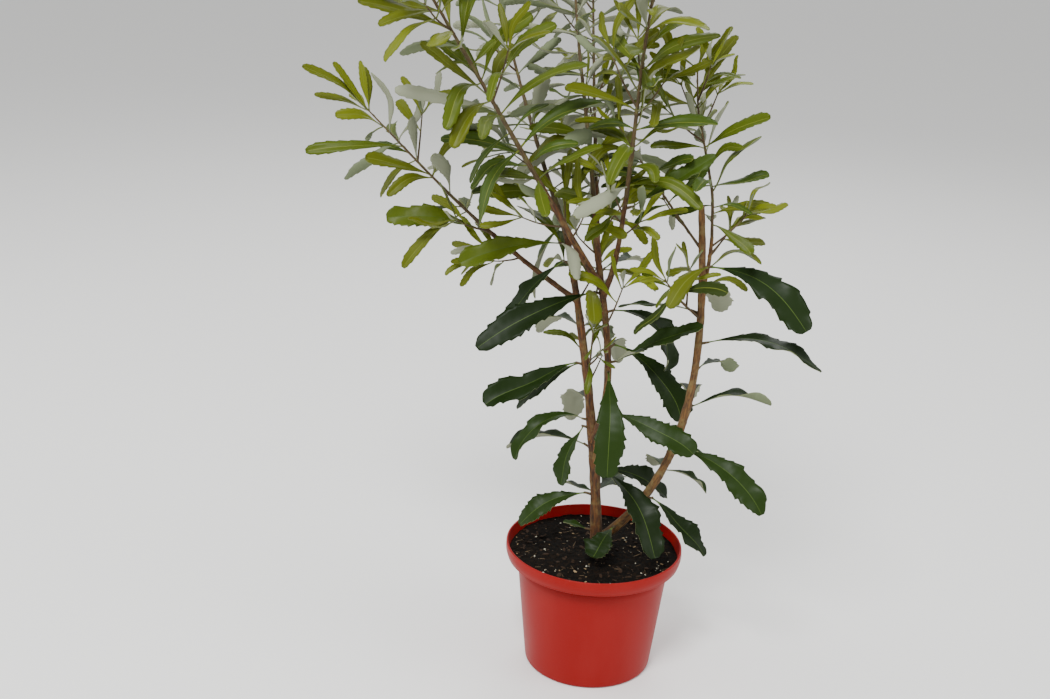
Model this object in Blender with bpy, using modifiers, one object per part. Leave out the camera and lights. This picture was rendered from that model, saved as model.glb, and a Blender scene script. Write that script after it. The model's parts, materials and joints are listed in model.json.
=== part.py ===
"""A young coastal banksia in a squat red nursery pot, in metres, +Z up.

The origin is the centre of the pot's flat underside. Bearings are degrees round +Z from +X, leans are
degrees from the vertical, and rises are degrees above the horizontal. The plant is a trunk, seven boughs
and masses of foliage: every mass is one stem with its twigs and leaves, fused into one solid, and it meets
its limb with a small gap. Each limb is given by where it starts on its parent, as a share of the parent's
length, the bearing that it leans to, and its lean at its foot, middle and tip.
"""

import math
import random
from collections import namedtuple

import bmesh
import bpy
from mathutils import Vector
from mathutils.bvhtree import BVHTree

GAP = 0.0003  # between any two pieces that meet
CLEARANCE = 0.0012  # kept round each leaf, so that no leaf touches another mass

# Pot: a thin moulded wall that steps out to a band round the mouth.
POT_HEIGHT = 0.148
RIM_RADIUS = 0.100
BAND_HEIGHT = 0.0167
BAND_FOOT_RADIUS = 0.0982
WALL_TOP_RADIUS = 0.0868
FOOT_RADIUS = 0.0725
WALL = 0.0022
FLOOR = 0.0030
RIM_ROUND = 0.0010
EDGE_ROUND = 0.0030
POT_STEPS = 48
DRAIN_HOLES = 6
DRAIN_HOLE_RADIUS = 0.0055
DRAIN_RING_RADIUS = 0.050

# Potting mix: fills the pot to just above the step under the band, a little higher round the trunk.
SOIL_HEIGHT = 0.1368
SOIL_EDGE_HEIGHT = 0.1358
SOIL_FLAT_RADIUS = 0.035

# Limbs.
TRUNK_FOOT = Vector((0.0025, 0.0040, SOIL_HEIGHT + GAP))
ROOT_FLARE = 0.0045
ROOT_FLARE_HEIGHT = 0.0090
COLLAR_SHARE = 0.35
COLLAR_LENGTH = 0.0100
FOOT_INSIDE_SHARE = 0.4  # a bough starts thin on its parent's axis, so that only its own side stands out
LIMB_POINT_SPACING = 0.030
STEM_POINT_SPACING = 0.050
NEAR_FOOT_SHARE = 0.3
STEM_SUNK = 0.001
LIMB_SIDES = 8
STEM_SIDES = 6
TWIG_SIDES = 4

Limb = namedtuple("Limb", "name parent place bearing leans length foot_radius tip_radius")
LIMBS = (
    Limb("trunk", None, 0, 180, (2.5, 8.5, 12.5), 0.373, 0.0066, 0.0034),
    Limb("bough_centre", "trunk", 0.36, -45, (30, -12, -6), 0.268, 0.0046, 0.0030),
    Limb("bough_left", "bough_centre", 0.685, 212, (37, 34, 34), 0.138, 0.0038, 0.0028),
    Limb("bough_front", "bough_centre", 0.645, -62, (38, 15, 9), 0.125, 0.0032, 0.0025),
    Limb("bough_back", "bough_centre", 0.79, 100, (38, 32, 30), 0.090, 0.0028, 0.0023),
    Limb("bough_far_left", "trunk", 0.80, 165, (62, 58, 54), 0.136, 0.0030, 0.0022),
    Limb("bough_right", "trunk", 0.027, -12, (49, 8, -6), 0.428, 0.0052, 0.0036),
    Limb("bough_right_shoot", "bough_right", 0.78, 40, (20, 6, 0), 0.062, 0.0022, 0.0018),
)

# Foliage of the crown: whorls of leaves along a stem that carries on from its bough, ended by a tuft.
Crown = namedtuple(
    "Crown", "name parent place bearing leans length foot_radius bare whorls leaves leaf twigs"
)
CROWNS = (
    Crown("foliage_back_left", "trunk", 1, 122, (44, 37, 30), 0.350, 0.0030, 0.012, 8, 3, 0.092, 2),
    Crown("foliage_left", "bough_left", 1, 212, (34, 34, 36), 0.345, 0.0027, 0.010, 8, 3, 0.094, 2),
    Crown("foliage_front", "bough_front", 1, -62, (9, 8, 32), 0.300, 0.0025, 0.012, 7, 3, 0.092, 2),
    Crown("foliage_back", "bough_back", 1, 100, (30, 26, 18), 0.320, 0.0022, 0.012, 7, 3, 0.090, 2),
    Crown("foliage_centre", "bough_centre", 1, 118, (14, 20, -8), 0.325, 0.0028, 0.012, 7, 3, 0.088, 1),
    Crown("foliage_far_left", "bough_far_left", 1, 165, (54, 50, 50), 0.180, 0.0021, 0.020, 3, 3, 0.084, 0),
    Crown("foliage_right", "bough_right_shoot", 1, 150, (-6, 18, -4), 0.180, 0.0018, 0.012, 4, 3, 0.076, 1),
    Crown("foliage_inner", "bough_right", 0.89, 160, (43, 40, 39), 0.165, 0.0016, 0.060, 3, 2, 0.070, 0),
    Crown("foliage_low", "bough_right", 0.715, 215, (75, 40, 55), 0.072, 0.0016, 0.045, 1, 2, 0.064, 0),
    Crown("foliage_young", "trunk", 0.56, -70, (30, 8, 4), 0.060, 0.0014, 0.020, 1, 3, 0.042, 0),
)
FIRST_SEED = 11

# Large leaves low on the limbs: each spray is a short spur on a limb, with its own leaves.
Spray = namedtuple("Spray", "name parent place leaves")
Blade = namedtuple("Blade", "bearing rise droop length width twist")
SPRAYS = (
    Spray("leaves_foot", "bough_right", 0.075, [Blade(-112, -14, 24, 0.046, 0.026, 0)]),
    Spray("leaves_foot_left", "trunk", 0.060, [Blade(200, 30, 20, 0.030, 0.014, -20)]),
    Spray("leaves_rim_left", "trunk", 0.180, [Blade(197, -2, 45, 0.086, 0.030, -35)]),
    Spray(
        "leaves_rim_back", "trunk", 0.165,
        [Blade(140, 15, 40, 0.048, 0.018, 0), Blade(65, 15, 35, 0.075, 0.026, 0)],
    ),
    Spray(
        "leaves_low_front", "trunk", 0.265,
        [Blade(-44, -18, 42, 0.122, 0.042, 12), Blade(4, -6, 45, 0.096, 0.034, 40)],
    ),
    Spray("leaves_low_left", "trunk", 0.400, [Blade(207, -62, 18, 0.074, 0.028, -20)]),
    Spray("leaves_low_back", "trunk", 0.470, [Blade(105, -5, 60, 0.110, 0.034, 0)]),
    Spray("leaves_arch_left", "trunk", 0.425, [Blade(216, 36, 115, 0.110, 0.024, -20)]),
    Spray("leaves_low_right", "bough_centre", 0.140, [Blade(-22, 10, 50, 0.104, 0.034, 45)]),
    Spray(
        "leaves_mid_left", "trunk", 0.600,
        [Blade(213, 4, 44, 0.116, 0.031, -40), Blade(192, -22, 34, 0.086, 0.028, -35)],
    ),
    Spray(
        "leaves_mid_back", "trunk", 0.700,
        [Blade(70, 5, 60, 0.105, 0.032, 0), Blade(120, 10, 60, 0.100, 0.030, 0)],
    ),
    Spray("leaves_upper_left", "trunk", 0.910, [Blade(186, -36, 32, 0.098, 0.030, -30)]),
    Spray("leaves_arm_left", "trunk", 0.965, [Blade(200, 6, 32, 0.112, 0.028, -40)]),
    Spray("leaves_fork_left", "bough_centre", 0.655, [Blade(209, -4, 34, 0.146, 0.038, -40)]),
    Spray("leaves_hanging", "bough_centre", 0.335, [Blade(-88, -12, 75, 0.128, 0.036, 0)]),
    Spray("leaves_inner_right", "bough_centre", 0.580, [Blade(5, 3, 100, 0.108, 0.036, 30)]),
    Spray(
        "leaves_inner_back", "bough_centre", 0.430,
        [Blade(10, -12, 70, 0.124, 0.034, 50), Blade(88, 0, 60, 0.105, 0.032, 0)],
    ),
    Spray(
        "leaves_inner_front", "bough_centre", 0.375,
        [Blade(-14, 35, 10, 0.106, 0.026, 40), Blade(-45, 40, 20, 0.050, 0.014, 0)],
    ),
    Spray("leaves_right_foot", "bough_right", 0.185, [Blade(-15, -20, 42, 0.088, 0.031, 30)]),
    Spray(
        "leaves_right_silver", "bough_right", 0.270,
        [Blade(12, 0, 60, 0.060, 0.020, 0), Blade(95, 5, 50, 0.085, 0.028, 0)],
    ),
    Spray(
        "leaves_right_low", "bough_right", 0.345,
        [Blade(-24, 4, 62, 0.118, 0.038, 35), Blade(25, 0, 50, 0.052, 0.016, 0)],
    ),
    Spray(
        "leaves_right_mid", "bough_right", 0.465,
        [Blade(0, 28, 45, 0.090, 0.023, 0), Blade(100, 15, 60, 0.100, 0.030, 0)],
    ),
    Spray("leaves_right_long", "bough_right", 0.650, [Blade(-22, 24, 54, 0.132, 0.028, 20)]),
    Spray("leaves_right_inner", "bough_right", 0.728, [Blade(178, 22, 48, 0.080, 0.014, 0)]),
    Spray("leaves_right_big", "bough_right", 0.846, [Blade(-34, 7, 55, 0.132, 0.040, 35)]),
    Spray("leaves_back_left", "trunk", 0.330, [Blade(152, 12, 55, 0.104, 0.032, 0)]),
    Spray("leaves_back_centre", "bough_centre", 0.740, [Blade(62, 16, 50, 0.100, 0.028, 0)]),
    Spray("leaves_back_right", "bough_right", 0.570, [Blade(62, 12, 60, 0.104, 0.030, 0)]),
    Spray("leaves_right_back", "bough_right", 0.790, [Blade(70, -5, 60, 0.088, 0.034, 0)]),
    Spray("leaves_far_left", "bough_far_left", 0.880, [Blade(192, 20, 26, 0.108, 0.028, -35)]),
    Spray("leaves_front", "bough_front", 0.900, [Blade(-8, 40, 8, 0.100, 0.024, 40)]),
)

# The outer leaves of the crown have their own places on the stems. The rest grow between them by rule.
Outer = namedtuple("Outer", "crown place leaf")
OUTER_LEAVES = (
    Outer("foliage_far_left", 0.98, Blade(205, 40, 14, 0.086, 0.014, -40)),
    Outer("foliage_far_left", 0.95, Blade(112, 66, 10, 0.052, 0.014, 40)),
    Outer("foliage_far_left", 0.77, Blade(216, 78, 14, 0.073, 0.016, 20)),
    Outer("foliage_far_left", 0.66, Blade(207, 10, 24, 0.108, 0.018, -45)),
    Outer("foliage_far_left", 0.60, Blade(156, 16, 30, 0.066, 0.018, -30)),
    Outer("foliage_far_left", 0.42, Blade(202, 26, 20, 0.076, 0.020, -45)),
    Outer("foliage_far_left", 0.15, Blade(166, -2, 30, 0.066, 0.018, -10)),
    Outer("foliage_left", 0.56, Blade(206, 26, 20, 0.098, 0.022, -45)),
    Outer("foliage_left", 0.40, Blade(153, 42, 24, 0.068, 0.018, -20)),
    Outer("foliage_left", 0.33, Blade(203, 44, 16, 0.092, 0.016, -40)),
    Outer("foliage_left", 0.28, Blade(204, 24, 24, 0.108, 0.018, -40)),
    Outer("foliage_left", 0.12, Blade(168, 22, 30, 0.090, 0.024, -30)),
    Outer("foliage_front", 0.24, Blade(-22, 60, 12, 0.120, 0.022, 30)),
    Outer("foliage_front", 0.37, Blade(203, 52, 16, 0.080, 0.020, -30)),
    Outer("foliage_front", 0.58, Blade(226, 66, 14, 0.064, 0.024, 0)),
    Outer("foliage_right", 0.80, Blade(38, 62, 16, 0.078, 0.018, 30)),
    Outer("foliage_right", 0.75, Blade(122, 56, 14, 0.052, 0.018, 30)),
    Outer("foliage_right", 0.60, Blade(214, 66, 14, 0.052, 0.014, 0)),
    Outer("foliage_right", 0.50, Blade(-32, 74, 14, 0.060, 0.015, 20)),
    Outer("foliage_right", 0.27, Blade(-22, 60, 14, 0.082, 0.018, 35)),
    Outer("foliage_right", 0.14, Blade(20, 20, 36, 0.072, 0.016, 60)),
)

SPUR_LENGTH = 0.008
SPUR_RADIUS = 0.0017
SPUR_LEAN = 70

# Leaves: share of the length, and of the half width there. A blade is flat above and has a keel below.
LARGE_STATIONS = ((0.00, None), (0.14, 0.14), (0.42, 0.66), (0.72, 1.00), (0.92, 0.80), (1.00, 0.38))
SMALL_STATIONS = ((0.00, None), (0.18, 0.16), (0.70, 1.00), (1.00, 0.48))
TUFT_STATIONS = ((0.00, None), (0.66, 1.00), (1.00, 0.42))
PETIOLE_HALF_WIDTH = 0.0006
BLADE_THICKNESS_SHARE = 0.011
BLADE_LEAST_THICKNESS = 0.0009
LEAF_WIDTH_SHARE = 0.23
ROOT_OFFSET = 0.0004

# How the leaves of a crown change from the lowest whorl to the tuft at the tip.
ANGLE_OFF_STEM = (76, 46)
LEAF_DROOP = (46, 22)
LIGHT = Vector((-0.15, -0.66, 0.74))  # where the blades turn their faces
MOST_TWIST = 55
TWIST_SPREAD = 26
SIZE_AT_TIP = 0.80
TUFT_LEAVES = 4
TUFT_ANGLE = 30
TUFT_WIDTH_SHARE = 0.85
TWIG_LENGTH = 0.058
TWIG_RADIUS = 0.0012
TWIG_ANGLE = 46
TWIG_UPTURN = 0.15
TWIG_CLEAR_OF_STEM = 0.008
TWIG_LEAVES = 2
TWIG_LEAF_SHARE = 0.8
TRIES = 8
TURN_ASIDE = 8  # degrees that a large leaf turns aside each time it would touch something


def clear_scene():
    for obj in list(bpy.data.objects):
        bpy.data.objects.remove(obj)


def new_collection(name):
    made = bpy.data.collections.new(name)
    bpy.context.scene.collection.children.link(made)
    return made


def new_material(name, colour, roughness):
    made = bpy.data.materials.new(name)
    made.use_nodes = True
    shader = made.node_tree.nodes["Principled BSDF"]
    shader.inputs["Base Color"].default_value = (*colour, 1.0)
    shader.inputs["Roughness"].default_value = roughness
    shader.inputs["Metallic"].default_value = 0.0
    made.diffuse_color = (*colour, 1.0)
    return made


def add_object(name, mesh, collection, material=None):
    obj = bpy.data.objects.new(name, mesh)
    collection.objects.link(obj)
    if material:
        mesh.materials.clear()
        mesh.materials.append(material)
    return obj


def add_cutter(name, mesh):
    obj = add_object(name, mesh, cutters)
    obj.hide_render = True
    obj.display_type = "WIRE"
    return obj


def boolean(obj, operation, other=None, collection=None):
    modifier = obj.modifiers.new(operation.title(), "BOOLEAN")
    modifier.operation = operation
    modifier.solver = "EXACT"
    if collection:
        modifier.operand_type = "COLLECTION"
        modifier.collection = collection
    else:
        modifier.object = other


def evaluated_mesh(obj):
    bpy.context.view_layer.update()
    graph = bpy.context.evaluated_depsgraph_get()
    return bpy.data.meshes.new_from_object(obj.evaluated_get(graph))


def heading(bearing, lean):
    """The unit vector that leans so many degrees from +Z towards the bearing."""
    b, t = math.radians(bearing), math.radians(lean)
    return Vector((math.sin(t) * math.cos(b), math.sin(t) * math.sin(b), math.cos(t)))


def lean_at(leans, share):
    """The lean at a share of the length: the parabola through the foot's, middle's and tip's lean."""
    foot, middle, tip = leans
    near, far = 1 - share, share
    return foot * near * (1 - 2 * far) + 4 * middle * near * far + tip * far * (2 * far - 1)


def stem_path(foot, bearing, leans, length, spacing):
    """Points along a stem that keeps to one vertical plane while its lean changes."""
    steps = max(2, round(length / spacing))
    points = [foot.copy()]
    for step in range(steps):
        lean = lean_at(leans, (step + 0.5) / steps)
        points.append(points[-1] + heading(bearing, lean) * (length / steps))
    return points


def point_on(path, share):
    """The place at a share of the path's length, and the path's direction there."""
    runs = [far - near for near, far in zip(path, path[1:])]
    left = share * sum(run.length for run in runs)
    for near, run in zip(path, runs[:-1]):
        if left <= run.length:
            break
        left -= run.length
    else:
        near, run = path[-2], runs[-1]
    return near + run.normalized() * min(left, run.length), run.normalized()


def tube_mesh(path, radii, sides):
    """A closed tube: a POLY curve with a round bevel, made a mesh, its caps welded."""
    curve = bpy.data.curves.new("tube", "CURVE")
    curve.dimensions = "3D"
    curve.bevel_depth = 1.0
    curve.bevel_resolution = (sides - 4) // 2
    curve.use_fill_caps = True
    spline = curve.splines.new("POLY")
    spline.points.add(len(path) - 1)
    for point, place, radius in zip(spline.points, path, radii):
        point.co = (*place, 1.0)
        point.radius = radius
    obj = add_object("tube", curve, parts)
    mesh = evaluated_mesh(obj)
    bpy.data.objects.remove(obj)
    work = bmesh.new()
    work.from_mesh(mesh)
    bmesh.ops.remove_doubles(work, verts=work.verts, dist=1e-6)
    bmesh.ops.recalc_face_normals(work, faces=work.faces)
    work.to_mesh(mesh)
    work.free()
    return mesh


def swollen(path, radii):
    """The same tube with the gap added all round and at both ends."""
    first = path[0] - (path[1] - path[0]).normalized() * GAP
    last = path[-1] + (path[-1] - path[-2]).normalized() * GAP
    return [first, *path[1:-1], last], [radius + GAP for radius in radii]


def turned(name, profile, collection, material, steps):
    """A solid turned round Z. The profile starts on the axis and comes down the outer side back to it."""
    mesh = bpy.data.meshes.new(name)
    edges = [(i, i + 1) for i in range(len(profile) - 1)]
    mesh.from_pydata([(r, 0, z) for r, z in profile], edges, [])
    obj = add_object(name, mesh, collection, material)
    screw = obj.modifiers.new("Turn", "SCREW")
    screw.steps = steps
    screw.render_steps = steps
    screw.use_merge_vertices = True
    screw.merge_threshold = 1e-5
    return obj


def cylinder_mesh(radius, height):
    mesh = bpy.data.meshes.new("cylinder")
    work = bmesh.new()
    bmesh.ops.create_cone(work, cap_ends=True, segments=12, radius1=radius, radius2=radius, depth=height)
    work.to_mesh(mesh)
    work.free()
    return mesh


# ---------------------------------------------------------------- pot and potting mix

WALL_TOP = POT_HEIGHT - BAND_HEIGHT
INNER_RIM = RIM_RADIUS - WALL
INNER_BAND_FOOT = BAND_FOOT_RADIUS - WALL
INNER_WALL_TOP = WALL_TOP_RADIUS - WALL
INNER_FOOT = FOOT_RADIUS - WALL


def quarter_round(centre_r, centre_z, radius, start, steps=2):
    """Points of a quarter circle in the profile, clockwise from the start angle."""
    angles = [math.radians(start - 90 * i / steps) for i in range(steps + 1)]
    return [(centre_r + radius * math.cos(a), centre_z + radius * math.sin(a)) for a in angles]


def make_pot():
    step = WALL_TOP + WALL
    inner = [(0, FLOOR), (INNER_FOOT, FLOOR), (INNER_WALL_TOP, step), (INNER_BAND_FOOT, step)]
    rim = [(INNER_RIM, POT_HEIGHT)]
    rim += quarter_round(RIM_RADIUS - RIM_ROUND, POT_HEIGHT - RIM_ROUND, RIM_ROUND, 90)
    band = [(BAND_FOOT_RADIUS, WALL_TOP), (WALL_TOP_RADIUS, WALL_TOP)]
    foot = quarter_round(FOOT_RADIUS - EDGE_ROUND, EDGE_ROUND, EDGE_ROUND, 0)
    pot = turned("pot", inner + rim + band + foot + [(0, 0)], parts, red_plastic, POT_STEPS)
    for index in range(DRAIN_HOLES):
        turn = 2 * math.pi * index / DRAIN_HOLES
        hole = add_cutter(f"drain_hole_{index + 1}", cylinder_mesh(DRAIN_HOLE_RADIUS, 4 * FLOOR))
        hole.location = (DRAIN_RING_RADIUS * math.cos(turn), DRAIN_RING_RADIUS * math.sin(turn), 0)
        boolean(pot, "DIFFERENCE", hole)
    return pot


def make_soil():
    step = WALL_TOP + WALL + GAP
    profile = [
        (0, SOIL_HEIGHT),
        (SOIL_FLAT_RADIUS, SOIL_HEIGHT),
        (INNER_BAND_FOOT - GAP, SOIL_EDGE_HEIGHT),
        (INNER_BAND_FOOT - 2 * GAP, step),
        (INNER_WALL_TOP - 2 * GAP, step),
        (INNER_FOOT - 2 * GAP, FLOOR + GAP),
        (0, FLOOR + GAP),
    ]
    return turned("soil", profile, parts, potting_mix, POT_STEPS)


# ---------------------------------------------------------------- trunk and boughs

paths = {}
tubes = {}
solids = []  # (owner, centre, reach, BVHTree) of everything that a new leaf has to miss


def measure(points, faces):
    centre = sum(points, Vector()) / len(points)
    reach = max((point - centre).length for point in points)
    return centre, reach, BVHTree.FromPolygons(points, faces)


def remember(owner, points, faces):
    solids.append((owner, *measure(points, faces)))


def is_free(points, faces, ignored=None):
    """True if the shape misses every solid but those of the ignored owner."""
    centre, reach, tree = measure(points, faces)
    for owner, other_centre, other_reach, other in solids:
        near = (centre - other_centre).length < reach + other_reach
        if near and owner != ignored and tree.overlap(other):
            return False
    return True


def lists_of(mesh):
    return [vertex.co.copy() for vertex in mesh.vertices], [tuple(face.vertices) for face in mesh.polygons]


def remember_object(obj):
    mesh = evaluated_mesh(obj)
    remember(obj.name, *lists_of(mesh))
    bpy.data.meshes.remove(mesh)


def limb_radii(limb, path):
    """A straight taper, with a root flare on the trunk and a collar at the foot of each bough."""
    step = limb.length / (len(path) - 1)
    radii = []
    for index in range(len(path)):
        share = index / (len(path) - 1)
        radius = limb.foot_radius + (limb.tip_radius - limb.foot_radius) * share
        if limb.parent is None:
            radius += ROOT_FLARE * math.exp(-index * step / ROOT_FLARE_HEIGHT)
        else:
            radius *= 1 + COLLAR_SHARE * math.exp(-index * step / COLLAR_LENGTH)
        radii.append(radius)
    if limb.parent:
        radii[0] *= FOOT_INSIDE_SHARE
    return radii


def make_limb(limb):
    foot = point_on(paths[limb.parent], limb.place)[0] if limb.parent else TRUNK_FOOT
    path = stem_path(foot, limb.bearing, limb.leans, limb.length, LIMB_POINT_SPACING)
    near_foot = foot + (path[1] - foot) * NEAR_FOOT_SHARE
    if limb.parent is None:
        near_foot = Vector((foot.x, foot.y, near_foot.z))
    path.insert(1, near_foot)
    radii = limb_radii(limb, path)
    obj = add_object(limb.name, tube_mesh(path, radii, LIMB_SIDES), parts, bark)
    if limb.parent:
        boolean(obj, "DIFFERENCE", tubes[limb.parent])
    paths[limb.name] = path
    tubes[limb.name] = add_cutter(f"{limb.name}_swollen", tube_mesh(*swollen(path, radii), LIMB_SIDES))
    remember_object(tubes[limb.name])
    return obj


# ---------------------------------------------------------------- leaves


def blade_shape(root, blade, stations, margin=0.0, first=0):
    """Rings of three points along a leaf that bends down as it goes: its two edges, and its keel below."""
    thickness = max(BLADE_LEAST_THICKNESS, BLADE_THICKNESS_SHARE * blade.length)
    side = Vector((-math.sin(math.radians(blade.bearing)), math.cos(math.radians(blade.bearing)), 0))
    twist = math.radians(blade.twist)
    points, place, reached = [], root.copy(), 0.0
    for share, width_share in stations:
        along = heading(blade.bearing, 90 - blade.rise + blade.droop * (reached + share) / 2)
        place = place + along * (blade.length * (share - reached))
        reached = share
        up = heading(blade.bearing, 90 - blade.rise + blade.droop * share).cross(side)
        across = side * math.cos(twist) + up * math.sin(twist)
        normal = up * math.cos(twist) - side * math.sin(twist)
        half = PETIOLE_HALF_WIDTH if width_share is None else blade.width / 2 * width_share
        top = place + normal * (thickness / 3 + margin)
        points += [
            top - across * (half + margin),
            top + across * (half + margin),
            place - normal * (2 * thickness / 3 + margin),
        ]
    points = points[3 * first :]
    last = len(points) - 3
    faces = [(0, 1, 2), (last + 2, last + 1, last)]
    for ring in range(0, last, 3):
        for k in range(3):
            near, far = ring + k, ring + (k + 1) % 3
            faces.append((near, near + 3, far + 3, far))
    return points, faces


def add_leaf(owner, root, blade, stations, loose):
    """Keeps one leaf for its mass if it misses other pieces, and its blade misses its own mass too."""
    whole = blade_shape(root, blade, stations, CLEARANCE)
    beyond_petiole = blade_shape(root, blade, stations, CLEARANCE, 1)
    if not is_free(*whole, owner) or not is_free(*beyond_petiole):
        return False
    loose.append(blade_shape(root, blade, stations))
    remember(owner, *loose[-1])
    return True


def off_stem(direction, angle, turn):
    """The direction at an angle from the stem's own, turned round the stem."""
    level = direction.cross(Vector((0, 0, 1)))
    level = level.normalized() if level.length > 1e-4 else Vector((1, 0, 0))
    radial = level * math.cos(turn) + direction.cross(level) * math.sin(turn)
    return direction * math.cos(math.radians(angle)) + radial * math.sin(math.radians(angle))


def facing(way):
    """The twist, up to a limit, that turns the face of a blade along this way to the light."""
    side = Vector((0, 0, 1)).cross(way)
    up = way.cross(side)
    twist = math.degrees(math.atan2(-side.dot(LIGHT), up.dot(LIGHT)))
    return max(-MOST_TWIST, min(MOST_TWIST, twist))


def blade_along(way, droop, length, width, twist):
    bearing = math.degrees(math.atan2(way.y, way.x))
    rise = math.degrees(math.asin(max(-1, min(1, way.z))))
    return Blade(bearing, rise, droop, length, width, twist)


def whorl(owner, path, share, count, age, size, dice, loose):
    """Leaves round the stem at one height. Age is 0 at the oldest whorl and 1 at the tip."""
    place, direction = point_on(path, share)
    start = dice.uniform(0, 2 * math.pi)
    angle = ANGLE_OFF_STEM[0] + (ANGLE_OFF_STEM[1] - ANGLE_OFF_STEM[0]) * age
    droop = LEAF_DROOP[0] + (LEAF_DROOP[1] - LEAF_DROOP[0]) * age
    for index in range(count):
        own = random.Random(dice.random())
        for _ in range(TRIES):
            turn = start + 2 * math.pi * index / count + own.uniform(-0.5, 0.5)
            way = off_stem(direction, angle + own.uniform(-12, 12), turn)
            length = size * (1 - (1 - SIZE_AT_TIP) * age) * own.uniform(0.80, 1.15)
            width = length * LEAF_WIDTH_SHARE * own.uniform(0.85, 1.15)
            twist = facing(way) + own.uniform(-TWIST_SPREAD, TWIST_SPREAD)
            blade = blade_along(way, droop * own.uniform(0.5, 1.4), length, width, twist)
            root = place + way * ROOT_OFFSET + direction * (0.0011 * index)
            if add_leaf(owner, root, blade, SMALL_STATIONS, loose):
                break


def tuft(owner, path, size, dice, loose):
    """The youngest leaves, held up close round the tip of a stem."""
    place, direction = point_on(path, 0.97)
    for index in range(TUFT_LEAVES):
        own = random.Random(dice.random())
        for _ in range(TRIES):
            turn = 2 * math.pi * (index + own.uniform(0, 0.5)) / TUFT_LEAVES
            way = off_stem(direction, TUFT_ANGLE + own.uniform(-8, 14), turn)
            length = size * SIZE_AT_TIP * own.uniform(0.75, 1.05)
            width = length * LEAF_WIDTH_SHARE * TUFT_WIDTH_SHARE
            twist = facing(way) + own.uniform(-TWIST_SPREAD, TWIST_SPREAD)
            blade = blade_along(way, own.uniform(-2, 30), length, width, twist)
            root = place + way * ROOT_OFFSET - direction * (0.0010 * index)
            if add_leaf(owner, root, blade, TUFT_STATIONS, loose):
                break


def grow_stem(crown):
    foot, parent_way = point_on(paths[crown.parent], crown.place)
    path = stem_path(foot, crown.bearing, crown.leans, crown.length, STEM_POINT_SPACING)
    if crown.place == 1:
        path[0] = foot - parent_way * STEM_SUNK
    taper = (0.6 * TWIG_RADIUS - crown.foot_radius) / (len(path) - 1)
    mesh = tube_mesh(path, [crown.foot_radius + taper * index for index in range(len(path))], STEM_SIDES)
    remember(crown.name, *lists_of(mesh))
    return path, mesh


def grow_twigs(crown, path, dice):
    """Side twigs at an angle from the stem, each where it misses all that stands."""
    twigs = []
    for index in range(crown.twigs):
        own = random.Random(dice.random())
        for _ in range(TRIES):
            place, direction = point_on(path, 0.2 + 0.6 * (index + own.random()) / crown.twigs)
            way = off_stem(direction, TWIG_ANGLE, own.uniform(0, 2 * math.pi))
            middle = place + way * TWIG_LENGTH * 0.5
            tip = place + (way + Vector((0, 0, TWIG_UPTURN))) * TWIG_LENGTH
            beside = [place + way * TWIG_CLEAR_OF_STEM, middle, tip]
            space = tube_mesh(beside, [TWIG_RADIUS + CLEARANCE] * 3, TWIG_SIDES)
            if is_free(*lists_of(space)):
                radii = [TWIG_RADIUS, TWIG_RADIUS, 0.7 * TWIG_RADIUS]
                twigs.append(([place, middle, tip], tube_mesh([place, middle, tip], radii, TWIG_SIDES)))
                remember(crown.name, *lists_of(space))
                break
    return twigs


def make_crown(crown, path, mesh, twigs, dice):
    loose = []
    for outer in OUTER_LEAVES:
        if outer.crown == crown.name:
            place, direction = point_on(path, outer.place)
            add_leaf(crown.name, place, outer.leaf, SMALL_STATIONS, loose)
    for twig, _ in twigs:
        whorl(crown.name, twig, 0.55, TWIG_LEAVES, 0.6, TWIG_LEAF_SHARE * crown.leaf, dice, loose)
        tuft(crown.name, twig, TWIG_LEAF_SHARE * crown.leaf, dice, loose)
    bare = crown.bare / crown.length
    for index in range(crown.whorls):
        age = index / crown.whorls
        whorl(crown.name, path, bare + (0.97 - bare) * age, crown.leaves, age, crown.leaf, dice, loose)
    tuft(crown.name, path, crown.leaf, dice, loose)
    fuse_mass(crown.name, mesh, crown.parent, [twig_mesh for _, twig_mesh in twigs], loose)


def make_spray(spray):
    """A short spur on the side of a limb, and the large leaves that fork from it."""
    limb = next(limb for limb in LIMBS if limb.name == spray.parent)
    foot, _ = point_on(paths[spray.parent], spray.place)
    bearing = sum(blade.bearing for blade in spray.leaves) / len(spray.leaves)
    way = heading(bearing, SPUR_LEAN)
    limb_radius = limb.foot_radius + (limb.tip_radius - limb.foot_radius) * spray.place
    spur = [foot, foot + way * (limb_radius + SPUR_LENGTH)]
    mesh = tube_mesh(spur, [SPUR_RADIUS, SPUR_RADIUS], STEM_SIDES)
    remember(spray.name, *lists_of(mesh))
    loose = []
    for index, blade in enumerate(spray.leaves):
        root = spur[1] - way * (0.0020 + 0.0016 * index)
        for turned_by in range(TRIES):
            aside = TURN_ASIDE * ((turned_by + 1) // 2) * (-1) ** turned_by
            leaf = blade._replace(bearing=blade.bearing + aside)
            if add_leaf(spray.name, root, leaf, LARGE_STATIONS, loose):
                break
    fuse_mass(spray.name, mesh, spray.parent, [], loose)


def loose_object(mesh, collection):
    work = bmesh.new()
    work.from_mesh(mesh)
    bmesh.ops.triangulate(work, faces=work.faces)
    bmesh.ops.recalc_face_normals(work, faces=work.faces)
    work.to_mesh(mesh)
    work.free()
    return add_object("loose", mesh, collection)


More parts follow.
